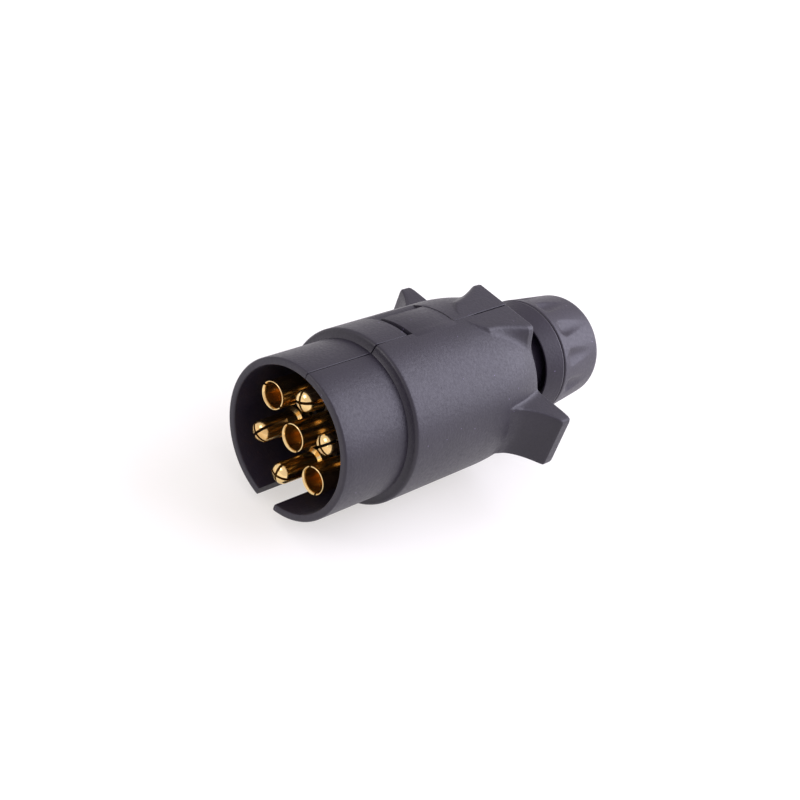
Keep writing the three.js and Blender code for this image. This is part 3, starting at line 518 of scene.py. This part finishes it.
def half_shell(side, s):
    """One shell as a wall between two surfaces in polar form. The outside's radius is the largest of
    the barrel, the blocks and the wings at that angle, with fillets; the left one is cut flat at the
    latch pockets. side is 1 for the right shell and -1 for the left one."""
    y, outer, inner, cut, pad, key = shell_stations(s)
    if side > 0:
        cut, pad = 0 * cut, 0 * pad
    # x of the columns at the seam, and how far its edge is rounded off there: it is nearly shut along
    # the barrel and opens at the step's lip and along the blocks
    lip = np.exp(-(((y - s.shroud_length - 1) / 1.2) ** 2))
    shroud = 0.4 * (y < s.shroud_length)
    block = np.clip((y - s.back + WING_LENGTH) / 5, 0, 1)
    opening = np.clip(0.15 + shroud + lip + block, 0, 1)
    near = s.seam / 2 * opening + np.array([[0.0, 0.02, 0.07, 0.17, 0.35]])
    worn = np.array([[0.26, 0.16, 0.07, 0.015, 0.0]]) * (0.3 + 0.7 * opening)
    near_low = near[:, ::-1] + key * (s.keyway_width - s.seam) / 2
    middle = shell_columns(y, outer, key, s)
    angle = np.concatenate([np.arccos(near / outer), middle, -np.arccos(near_low / outer)], 1)
    worn = np.concatenate([worn, np.zeros_like(middle), worn[:, ::-1]], 1)

    blocks = np.maximum(block_line(angle, y, outer, s), outer)
    radius = np.where(y > s.back - BLOCK_LENGTH, blocks, outer)
    wing = np.where(y > s.back - WING_LENGTH - 0.5, wing_line(y, s), 0.01)
    grown = np.clip((y - (s.back - WING_LENGTH)) / 4, 0, 1)
    radius = smooth_max(radius, box_line(angle, wing, s.wing_half_height), 1.8 * grown)
    end = np.clip((y - (s.back - 0.5)) / 0.5, 0, 1)
    radius = radius - 0.5 * (1 - np.sqrt(1 - end**2)) * np.clip(radius - outer, 0, 1) - worn
    up = np.maximum(np.abs(np.sin(angle)), 0.05)
    radius = radius - cut * np.maximum(radius - POCKET_FLOOR / up, 0)
    bore = np.minimum(inner + 0 * angle, np.where(pad > 0, PAD_UNDERSIDE / up, 99))

    def points(r):
        """x = r cos a and z = r sin a, but the five columns at each seam keep their own x."""
        grid = polar(r, angle, y)
        grid[:, :5, 0], grid[:, -5:, 0] = near, near_low
        grid[:, :5, 2] = np.sqrt(r[:, :5] ** 2 - near**2)
        grid[:, -5:, 2] = -np.sqrt(r[:, -5:] ** 2 - near_low**2)
        return grid * (side, 1, 1)

    return walled(points(radius), points(bore))


def latch_tongue(side, s):
    """A latch tongue: a section with the barrel's round top and a flat underside, carried along the
    axis. It starts inside the right shell and crosses the seam to the left one."""
    tip, root, under = -s.latch_reach, 2.2, TONGUE_UNDERSIDE
    x = np.linspace(root, tip + 0.35, 30)
    lift = 0.02 - 0.05 * np.clip(x - 1, 0, 1) - 0.14 * np.clip(-x, 0, 1)
    top = np.sqrt((s.barrel_radius + lift) ** 2 - x**2)
    t = np.linspace(0, math.pi / 2, 5)[1:]
    corner_x = tip + 0.35 * (1 - np.sin(t))
    corner_z = top[-1] - 0.5 * (1 - np.cos(t))
    low = [[tip, under + 0.3], [tip + 0.25, under], [tip + 3, under], [root - 3, under], [root, under]]
    outline = np.concatenate([np.stack([x, top], -1), np.stack([corner_x, corner_z], -1), low])
    outline[:, 1] *= side
    front, back = s.latch_front, s.latch_front + s.latch_length
    y = [front, front + 0.05, front + 0.15, back - 0.15, back - 0.05, back]
    return bar(outline, y, [0.14, 0.04, 0, 0, 0.03, 0.1])


class PLUG_OT_shells(bpy.types.Operator):
    """Make the two shells, with the wings, blocks, latch pockets and latch tongues"""

    bl_idname = "plug.shells"
    bl_label = "Shells"

    def execute(self, context):
        s = sizes("plug_shell")
        finish = moulded_glass_filled_nylon("Moulded nylon of the case", finishes().shell)
        left = [half_shell(-1, s)]
        make_piece("left_shell_moulding", left, "left_shell", "shell_plastic", finish, ["left_shell"])
        right = [half_shell(1, s), latch_tongue(1, s), latch_tongue(-1, s)]
        make_piece("right_shell_moulding", right, "housing", "shell_plastic", finish, ["right_shell"])
        return {"FINISHED"}


# ---- Gland ----


def thread_run(g):
    """Where the threads start, half a pitch behind the collar, and their turns: the spigot's length in
    pitches, less one."""
    turns = (g.spigot_back - g.collar_back) / g.thread_pitch - 1
    return g.collar_back + g.thread_pitch / 2, turns


def gland_profile(g):
    """The gland body's profile, from its front end along the outside to the spigot's end and back along
    the bore. The collar is a straight cone with a broken back edge."""
    neck, front, back = g.neck_radius, g.collar_front, g.collar_back
    # radii of the way for the cores, the seal's seat and mouth, the flange and the neck's waist
    way, seat, mouth = neck - 3.5, g.seal_radius - 1.2, g.seal_radius + 0.3
    flange, waist, web = neck + 2.8, neck - 1.2, neck + 1.2
    wide, slope = g.nut_front_radius, 1.9
    # places along the axis: the front end, the flange and where the waist starts
    start, flange_front, flange_back, waist_front = 64.4, 67.6, 69.4, 72.4
    corners = [(way, start, 0.3), (neck, start, 0.4), (neck, flange_front, 0)]
    corners += [(flange, flange_front, 0.2), (flange, flange_back, 0.2), (neck, flange_back, 0)]
    corners += [(neck, waist_front, 0.3), (waist, waist_front, 0), (waist, back - 1.2, 0.2)]
    corners += [(web, back - 1.2, 0.2), (web, front, 0.12), (wide - slope, front, 0.15)]
    for t in np.linspace(0.12, 1, 10):
        corners.append((wide - slope * (1 - t), front + (back - front - 0.6) * t, 0))
    corners += [(wide - 0.1, back - 0.2, 0), (wide - 0.35, back, 0)]
    corners += [(g.spigot_radius, back, 0.2), (g.spigot_radius, g.spigot_back, 0.5)]
    corners += [(mouth, g.spigot_back, 0.2), (mouth, back + 1.6, 0), (seat, back + 0.4, 0)]
    corners += [(seat, front + 2, 0), (way, front - 2, 0)]
    return rounded(corners)


class PLUG_OT_gland(bpy.types.Operator):
    """Make the gland body: flange, neck, collar and threaded spigot"""

    bl_idname = "plug.gland"
    bl_label = "Gland body"

    def execute(self, context):
        g = sizes("plug_gland")
        root, crest = g.spigot_radius - 0.2, g.spigot_radius + g.thread_depth
        thread = ridge(root, crest, *thread_run(g), 0, g.thread_pitch)
        finish = moulded_glass_filled_nylon("Moulded nylon of the gland", finishes().nut)
        parts = [lathe(gland_profile(g), 128), thread]
        make_piece("gland_body_moulding", parts, "housing", "shell_plastic", finish, ["gland_body"])
        return {"FINISHED"}


def nut_wall(g):
    """The nut as a wall between two surfaces in polar form: a cone outside, less its finger hollows, and
    a bore for the thread and an entry for the cable inside."""
    front, back, edge = g.nut_front, g.nut_back, 0.6
    # rows along the axis: y, how far the outside is rounded off, and the inside radius
    rows = []
    for t in np.linspace(0, math.pi / 2, 5):
        dip = 1 - math.sin(t)
        rows.append((front + edge * (1 - math.cos(t)), edge * dip, g.nut_bore + 0.2 * dip))
    floor = g.spigot_back + 0.6
    for y in np.arange(front + 0.9, floor - 0.2, 0.35):
        rows.append((y, 0, g.nut_bore))
    rows += [(floor - EDGE, 0, g.nut_bore), (floor, 0, g.nut_entry)]
    # the entry's funnel and the outer edge at the back are quarter ellipses
    funnel_length, funnel_flare, roll_length, roll_depth = 3.8, 3.4, 2.6, 2.0
    for y in np.arange(floor + 0.4, back - funnel_length - 0.1, 0.5):
        rows.append((y, 0, g.nut_entry))
    for t in np.linspace(0, math.pi / 2, 15):
        y = back - funnel_length * (1 - math.sin(t))
        roll = np.clip((y - (back - roll_length)) / roll_length, 0, 1)
        dip = roll_depth * (1 - math.sqrt(1 - roll**2))
        rows.append((y, dip, g.nut_entry + funnel_flare * (1 - math.cos(t))))
    y, dip, inner = (np.array(column)[:, None] for column in zip(*rows))
    slope = (g.nut_front_radius - g.nut_rear_radius) / (back - front)
    plain = g.nut_front_radius - slope * (y - front) - dip
    hollows = 12
    around = np.linspace(0, 2 * math.pi, 24 * hollows, endpoint=False)[None]
    # a finger hollow is the near side of a cylinder with a round front end; it runs parallel to the
    # axis, so it fades out towards the nut's narrow end
    first, apart = math.radians(93.5), 2 * math.pi / hollows
    off = (around - first + apart / 2) % apart - apart / 2
    start = front + 2.2 + 0.6 * g.scallop_radius
    middle = g.nut_front_radius - slope * (start - front)
    centre = middle - g.scallop_depth + g.scallop_radius
    reach = np.sqrt(np.clip(g.scallop_radius**2 - np.clip(start - y, 0, None) ** 2, 0, None))
    under = reach**2 - (centre * np.sin(off)) ** 2
    hollow = np.where(under > 0, centre * np.cos(off) - np.sqrt(np.clip(under, 0, None)), 99)
    outer = -smooth_max(-plain, -hollow, 0.35)
    return walled(polar(outer, around, y), polar(inner, around, y), wrap=True)


class PLUG_OT_nut(bpy.types.Operator):
    """Make the gland nut, with its finger hollows and its inside thread"""

    bl_idname = "plug.nut"
    bl_label = "Gland nut"

    def execute(self, context):
        g = sizes("plug_gland")
        root, crest = g.nut_bore + 0.2, g.spigot_radius + 0.3
        thread = ridge(root, crest, *thread_run(g), math.pi, g.thread_pitch)
        finish = moulded_glass_filled_nylon("Moulded nylon of the nut", finishes().nut)
        parts = [nut_wall(g), thread]
        make_piece("gland_nut_moulding", parts, "gland_nut", "nut_plastic", finish, ["gland_nut"])
        return {"FINISHED"}


class PLUG_OT_seal(bpy.types.Operator):
    """Make the rubber seal and the nylon slip washer"""

    bl_idname = "plug.seal"
    bl_label = "Seal and washer"

    def execute(self, context):
        g = sizes("plug_gland")
        front, back = g.collar_back + 1.3, g.collar_back + 10.7
        out, hole = g.seal_radius, g.cable_radius
        corners = [(hole, front, 0.3), (out - 1.8, front, 0.3), (out, front + 1.5, 0.3)]
        corners += [(out, back, 0.4), (hole, back, 0.3)]
        rubber = moulded_rubber("Moulded rubber of the seal", finishes().rubber)
        seal = lathe(rounded(corners), 64)
        make_piece("seal_ring", [seal], "housing", "seal_rubber", rubber, ["cable_seal"])
        low, high, hole = back + 0.3, back + 1.7, hole + 0.8
        corners = [(hole, low, 0.2), (out, low, 0.2), (out, high, 0.2), (hole, high, 0.2)]
        nylon = cut_natural_nylon("Cut nylon of the washer", finishes().nylon)
        washer = lathe(rounded(corners), 64)
        made = ("slip_washer_ring", [washer], "slip_washer", "washer_plastic", nylon)
        make_piece(*made, ["slip_washer"])
        return {"FINISHED"}


# ---- Contacts ----

# Each contact's angle on the circle, from +X towards +Z, and the turn of its slits, in degrees.
PINS = {"top": (90, 27), "upper_right": (30, 50), "bottom": (270, 94), "lower_left": (210, 62)}
SOCKETS = {"upper_left": (150, 161), "lower_right": (330, 126), "centre": (None, 140)}


def contact_tail(c, back):
    """Profile of the shoulder and of the terminal behind it, with its hole for the wire."""
    shoulder, hole, floor = c.socket_radius + 0.6, WIRE_HOLE_RADIUS, back - WIRE_HOLE_DEPTH
    corners = [(shoulder, SHOULDER_FRONT, 0.2), (shoulder, SHOULDER_BACK, 0.2)]
    corners += [(TERMINAL_RADIUS, SHOULDER_BACK, 0), (TERMINAL_RADIUS, back, 0.3)]
    return corners + [(hole, back, 0.2), (hole, floor, 0), (0, floor, 0)]


def pin_parts(c, back):
    """A pin about its own axis: four prongs and a turned shaft. A prong is a quarter of the round
    section less half a slit on each flat side; its radius follows an ellipse at the tip."""
    half, radius, tip = c.slit_width / 2, c.pin_radius, c.pin_tip
    root = tip + c.slit_length
    rise = np.linspace(0.03, 1, 12) ** 1.5
    y = np.concatenate([tip + c.pin_dome * rise, [root - 2, root]])
    reach = radius * np.sqrt(1 - np.clip(1 - (y - tip) / c.pin_dome, 0, 1) ** 2)[:, None]
    reach = np.maximum(reach, 0.62)
    chamfer = 0.07
    low = np.arcsin((half + chamfer) / reach)
    t = np.linspace(0, 1, 12)[None]
    a = low + (math.pi / 2 - 2 * low) * t
    flat = np.sqrt((reach - chamfer) ** 2 - half**2)
    same = np.full_like(flat, half)
    x = np.concatenate([same, flat, reach * np.cos(a), same], 1)
    z = np.concatenate([same, same, reach * np.sin(a), flat], 1)
    grid = np.stack([x, np.broadcast_to(y[:, None], x.shape), z], -1)
    prong = (grid.reshape(-1, 3), capped(*x.shape))
    collar, neck = radius + c.collar_extra, radius - 0.25
    corners = [(0, root, 0), (radius, root, 0), (radius, c.collar_front, 0)]
    corners += [(collar, c.collar_front + c.collar_extra, 0.1), (collar, c.collar_back, 0.12)]
    corners += [(neck, c.collar_back, 0), (neck, SHOULDER_FRONT, 0)]
    shaft = lathe(rounded(corners + contact_tail(c, back)), 48, closed=False)
    return [placed(prong, 0, 0, math.pi / 2 * i) for i in range(4)] + [shaft]


def socket_parts(c, back):
    """A socket about its own axis: two half tubes, each a half turn less half a slit at both ends,
    whose mouth flares inside, and a turned tube behind them."""
    half, out, mouth = c.slit_width / 2, c.socket_radius, c.socket_mouth
    inside, root = out - c.socket_wall, mouth + c.slit_length
    # y, how far the outside is rounded off and how far the bore flares
    rows = ((0, 0.1, 0.34), (0.06, 0.03, 0.3), (0.14, 0, 0.22), (0.5, 0, 0.03), (0.7, 0, 0), (4, 0, 0))
    y = np.array([mouth + r[0] for r in rows] + [root])[:, None]
    outer = np.array([out - r[1] for r in rows] + [out])[:, None]
    inner = np.array([inside + r[2] for r in rows] + [inside])[:, None]
    t = np.linspace(-1, 1, 33)[None]

    def surface(radius):
        return polar(radius, math.pi / 2 + t * (math.pi / 2 - np.arcsin(half / radius)), y)

    tube = walled(surface(outer), surface(inner))
    floor = mouth + c.socket_depth
    corners = [(0, floor, 0), (inside, floor, 0), (inside, root, 0), (out, root, 0)]
    corners.append((out, SHOULDER_FRONT, 0))
    tail = lathe(rounded(corners + contact_tail(c, back)), 56, closed=False)
    return [tube, placed(tube, 0, 0, math.pi), tail]


def make_contacts(kind, places, parts_of, finish):
    """One piece for each contact: its parts, turned to its slits' angle and carried to its place on the
    circle, or to the axis where it has no angle. The middle one's terminal is longer."""
    c = sizes("plug_contacts")
    for place, (degrees, slit) in places.items():
        around = math.radians(degrees or 0)
        pitch = 0 if degrees is None else c.pitch_radius
        x, z = pitch * math.cos(around), pitch * math.sin(around)
        back = CENTRE_TERMINAL_BACK if degrees is None else OUTER_TERMINAL_BACK
        parts = [placed(part, x, z, math.radians(slit)) for part in parts_of(c, back)]
        name, node = f"{place}_{kind}_turning", f"{kind}_{place}"
        make_piece(name, parts, "housing", "contact_brass", finish, [node])


class PLUG_OT_pins(bpy.types.Operator):
    """Make the four pins"""

    bl_idname = "plug.pins"
    bl_label = "Pins"

    def execute(self, context):
        finish = turned_brass("Turned brass of the pins")
        make_contacts("pin", PINS, pin_parts, finish)
        return {"FINISHED"}


class PLUG_OT_sockets(bpy.types.Operator):
    """Make the three socket tubes"""

    bl_idname = "plug.sockets"
    bl_label = "Sockets"

    def execute(self, context):
        finish = turned_brass("Turned brass of the sockets")
        make_contacts("socket", SOCKETS, socket_parts, finish)
        return {"FINISHED"}


class PLUG_OT_carrier(bpy.types.Operator):
    """Finish the carrier and its backplate, which keep their frame shapes"""

    bl_idname = "plug.carrier"
    bl_label = "Carrier finish"

    def execute(self, context):
        # the carrier's tone is partly painted shade for the inside of the shroud
        finish = moulded_glass_filled_nylon("Moulded nylon of the carrier with painted shade", finishes().carrier)
        for name in ("contact_carrier", "carrier_backplate"):
            give_finish(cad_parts[name], finish)
        return {"FINISHED"}


class PLUG_OT_screws(bpy.types.Operator):
    """Finish the seven terminal screws, which keep their frame shapes"""

    bl_idname = "plug.screws"
    bl_label = "Terminal screw finish"

    def execute(self, context):
        finish = zinc_plated_steel("Zinc-plated steel of the screws", finishes().steel)
        for name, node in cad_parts.items():
            if name.startswith("terminal_screw"):
                give_finish(node, finish)
        return {"FINISHED"}


def give_finish(node, finish):
    """A frame node's own mesh with one finish all over."""
    node.data.materials.clear()
    node.data.materials.append(finish)


# ---- Materials ----


def add(material, kind, inputs=None, **settings):
    """Adds a shader node with its settings. An input is a value, or an output to link from."""
    node = material.node_tree.nodes.new("ShaderNode" + kind)
    for key, value in settings.items():
        setattr(node, key, value)
    for key, value in (inputs or {}).items():
        if isinstance(value, bpy.types.NodeSocket):
            material.node_tree.links.new(value, node.inputs[key])
        else:
            node.inputs[key].default_value = value
    return node


def start_material(name):
    """A material with nothing in it, and its Object coordinates, which are in metres."""
    material = bpy.data.materials.new(name)
    material.use_nodes = True
    material.node_tree.nodes.clear()
    return material, add(material, "TexCoord").outputs["Object"]


def finish_material(material, skin):
    """Puts a Principled surface with these inputs on the material."""
    surface = add(material, "BsdfPrincipled", skin).outputs["BSDF"]
    add(material, "OutputMaterial", {"Surface": surface})
    return material


def lumps(place, size_mm, detail):
    """Inputs of a noise whose lumps are size_mm across on coordinates in metres."""
    return {"Vector": place, "Scale": 1000 / size_mm, "Detail": detail}


def between(factor, tone, dark, pale):
    """Inputs of a mix that runs from a darker to a paler shade of one tone."""
    return {"Factor": factor, "A": shade(tone, dark), "B": shade(tone, pale)}


def shade(tone, factor):
    """A linear tone times a factor, with no channel over 1."""
    return (*(min(1.0, channel * factor) for channel in tone), 1.0)


def moulded_glass_filled_nylon(name, tone):
    """Glass-filled nylon moulded against a spark-eroded tool. To the eye: satin, with a fine even grain
    that breaks up the sheen, faint clouding where glass lies near the skin, and a few pale flecks of
    dust. The real grain is about 0.1 mm, too fine to show, so it is drawn 0.7 mm across."""
    material, place = start_material(name)
    cloud = add(material, "TexNoise", lumps(place, 7.0, 4.0)).outputs["Fac"]
    grain = add(material, "TexNoise", lumps(place, 0.7, 3.0)).outputs["Fac"]
    # flecks 0.3 mm across, in cells of 3.4 mm
    cells = {"Vector": place, "Scale": 1000 / 3.4}
    near = add(material, "TexVoronoi", cells).outputs["Distance"]
    spot = {"Value": near, "From Min": 0.05, "From Max": 0.03, "To Max": 1.0}
    fleck = add(material, "MapRange", spot).outputs["Result"]
    clouded = add(material, "Mix", between(cloud, tone, 0.75, 1.25), data_type="RGBA")
    dusted = {"Factor": fleck, "A": clouded.outputs["Result"], "B": shade(tone, 12.0)}
    gloss = finishes().shell_roughness
    satin = {"Value": grain, "To Min": gloss - 0.16, "To Max": gloss + 0.16}
    relief = {"Strength": 0.5, "Distance": 0.00012, "Height": grain}
    skin = {
        "Base Color": add(material, "Mix", dusted, data_type="RGBA").outputs["Result"],
        "Roughness": add(material, "MapRange", satin).outputs["Result"],
        "IOR": 1.5,
        "Normal": add(material, "Bump", relief).outputs["Normal"],
    }
    return finish_material(material, skin)


def turned_brass(name):
    """Free-cutting brass turned on a lathe. To the eye: bright and warm, with fine rings of tool marks
    and brown tarnish in soft patches. The real marks are about 0.1 mm apart, too fine to show, so they
    are drawn 0.24 mm apart."""
    material, place = start_material(name)
    patch = add(material, "TexNoise", lumps(place, 5.0, 3.0)).outputs["Fac"]
    # squeezed across the axis, so that the lumps become rings
    squeeze = {"Vector": place, "Scale": (0.04, 1.0, 0.04)}
    rings = add(material, "Mapping", squeeze).outputs["Vector"]
    marks = add(material, "TexNoise", lumps(rings, 0.24, 1.0)).outputs["Fac"]
    soft = {"Value": patch, "From Min": 0.42, "From Max": 0.72, "To Max": 0.55}
    dulled = {
        "Factor": add(material, "MapRange", soft).outputs["Result"],
        "A": shade(finishes().brass, 1.0),
        "B": shade(finishes().tarnish, 1.0),
    }
    gloss = finishes().brass_roughness
    polish = {"Value": patch, "To Min": gloss - 0.05, "To Max": gloss + 0.15}
    relief = {"Strength": 0.25, "Distance": 0.00002, "Height": marks}
    metal = {
        "Base Color": add(material, "Mix", dulled, data_type="RGBA").outputs["Result"],
        "Metallic": 1.0,
        "Roughness": add(material, "MapRange", polish).outputs["Result"],
        "Normal": add(material, "Bump", relief).outputs["Normal"],
    }
    return finish_material(material, metal)


def zinc_plated_steel(name, tone):
    """Zinc-plated steel, barrel plated. To the eye: bright grey, with a faint bloom 1 mm across."""
    material, place = start_material(name)
    bloom = add(material, "TexNoise", lumps(place, 1.0, 3.0)).outputs["Fac"]
    blend = add(material, "Mix", between(bloom, tone, 0.8, 1.1), data_type="RGBA")
    plating = {"Value": bloom, "To Min": 0.28, "To Max": 0.45}
    metal = {
        "Base Color": blend.outputs["Result"],
        "Metallic": 1.0,
        "Roughness": add(material, "MapRange", plating).outputs["Result"],
    }
    return finish_material(material, metal)


def moulded_rubber(name, tone):
    """Moulded nitrile rubber. To the eye: matt and black, with a dusty bloom some millimetres across and
    a skin grain of about 0.2 mm."""
    material, place = start_material(name)
    bloom = add(material, "TexNoise", lumps(place, 3.0, 3.0)).outputs["Fac"]
    grain = add(material, "TexNoise", lumps(place, 0.2, 2.0)).outputs["Fac"]
    blend = add(material, "Mix", between(bloom, tone, 0.8, 1.5), data_type="RGBA")
    relief = {"Strength": 0.2, "Distance": 0.00005, "Height": grain}
    skin = {
        "Base Color": blend.outputs["Result"],
        "Roughness": 0.8,
        "IOR": 1.52,
        "Normal": add(material, "Bump", relief).outputs["Normal"],
    }
    return finish_material(material, skin)


def cut_natural_nylon(name, tone):
    """Natural nylon cut from sheet. To the eye: milky and a little translucent, with faint shading."""
    material, place = start_material(name)
    cloud = add(material, "TexNoise", lumps(place, 4.0, 3.0)).outputs["Fac"]
    blend = add(material, "Mix", between(cloud, tone, 0.92, 1.03), data_type="RGBA")
    skin = {
        "Base Color": blend.outputs["Result"],
        "Roughness": 0.42,
        "IOR": 1.53,
        "Subsurface Weight": 0.15,
        "Subsurface Scale": 0.001,
    }
    return finish_material(material, skin)


def lit_opal_acrylic(name, settings):
    """Opal acrylic sheet, cast, with a light under it. To the eye: white, with a very faint mottle about
    30 mm across, and shadows on it stay soft and pale."""
    material, place = start_material(name)
    mottle = add(material, "TexNoise", lumps(place, 30.0, 2.0)).outputs["Fac"]
    blend = add(material, "Mix", between(mottle, settings.floor, 0.99, 1.0), data_type="RGBA")
    skin = {
        "Base Color": blend.outputs["Result"],
        "Roughness": 0.5,
        "IOR": 1.49,
        "Emission Color": shade(settings.table_tone, 1.0),
        "Emission Strength": settings.table,
    }
    return finish_material(material, skin)


# ---- Stage ----


def area_light(name, place, width, watts, tone):
    """A square light that faces the middle of the plug."""
    data = bpy.data.lights.new(name, "AREA")
    data.color = tone
    data.size = width
    data.energy = watts
    light = new_object(name, data)
    light.location = place
    aim = Vector((0.0, 0.0, 0.02)) - Vector(place)
    light.rotation_euler = aim.to_track_quat("-Z", "Y").to_euler()


class PLUG_OT_stage(bpy.types.Operator):
    """Make the floor, the lights and the camera"""

    bl_idname = "plug.stage"
    bl_label = "Stage"

    def execute(self, context):
        scene = context.scene
        settings = scene.plug_stage
        # the floor is a flat grid just under the lowest line of the plug
        steps = np.linspace(-12.0, 12.0, 5)
        x, y = np.meshgrid(steps, steps, indexing="ij")
        points = np.stack([x, y, np.full_like(x, -0.00005)], -1).reshape(-1, 3)
        mesh = bpy.data.meshes.new("floor")
        mesh.from_pydata(points.tolist(), [], [face[::-1] for face in quads(5, 5)])
        mesh.materials.append(lit_opal_acrylic("Lit opal acrylic of the floor", settings))
        floor = new_object("floor", mesh)

        world = bpy.data.worlds.new("Surround")
        scene.world = world
        world.use_nodes = True
        background = world.node_tree.nodes["Background"]
        background.inputs["Color"].default_value = shade(settings.sky_tone, 1.0)
        background.inputs["Strength"].default_value = settings.sky
        area_light("Cool softbox", (0.38, 0.58, 0.5), 0.85, settings.key, settings.key_tone)
        area_light("Front softbox", (-0.25, -0.7, 0.45), 0.28, settings.front, settings.front_tone)
        scene.view_settings.view_transform = "Standard"

        az, el, roll = settings.azimuth, settings.elevation, settings.roll
        back = Vector((math.sin(az) * math.cos(el), -math.cos(az) * math.cos(el), math.sin(el)))
        right = (-back).cross(Vector((0, 0, 1))).normalized()
        up = right.cross(-back)
        lean_right = math.cos(roll) * right + math.sin(roll) * up
        lean_up = -math.sin(roll) * right + math.cos(roll) * up
        target = RIM + Vector((0.00684, 0.03, 0.00835))
        data = bpy.data.cameras.new("Camera")
        data.lens = settings.lens
        data.sensor_width = 36.0
        data.clip_start = 0.01
        camera = new_object("Camera", data)
        camera.matrix_world = Matrix((lean_right, lean_up, back)).transposed().to_4x4()
        camera.location = target + back * settings.distance
        scene.camera = camera
        return {"FINISHED"}


# ---- Add-on ----

OPERATORS = (
    PLUG_OT_shells,
    PLUG_OT_gland,
    PLUG_OT_nut,
    PLUG_OT_seal,
    PLUG_OT_pins,
    PLUG_OT_sockets,
    PLUG_OT_carrier,
    PLUG_OT_screws,
    PLUG_OT_stage,
)


class PLUG_PT_panel(bpy.types.Panel):
    """Lists the plug's pieces and their sizes"""

    bl_idname = "PLUG_PT_panel"
    bl_label = "Trailer plug"
    bl_space_type = "VIEW_3D"
    bl_region_type = "UI"
    bl_category = "Trailer plug"

    def draw(self, context):
        for operator in OPERATORS:
            self.layout.operator(operator.bl_idname)
        for name, group in GROUPS.items():
            box = self.layout.box()
            box.label(text=group.__doc__)
            for key in group.__annotations__:
                box.prop(getattr(context.scene, name), key)


CLASSES = (*GROUPS.values(), *OPERATORS, PLUG_PT_panel)


def register():
    for cls in CLASSES:
        bpy.utils.register_class(cls)
    for name, group in GROUPS.items():
        setattr(bpy.types.Scene, name, bpy.props.PointerProperty(type=group))


def unregister():
    for name in GROUPS:
        delattr(bpy.types.Scene, name)
    for cls in reversed(CLASSES):
        bpy.utils.unregister_class(cls)


def main():
    register()
    bpy.ops.plug.shells()
    bpy.ops.plug.gland()
    bpy.ops.plug.nut()
    bpy.ops.plug.seal()
    bpy.ops.plug.pins()
    bpy.ops.plug.sockets()
    bpy.ops.plug.carrier()
    bpy.ops.plug.screws()
    bpy.ops.plug.stage()


if __name__ == "__main__":
    main()
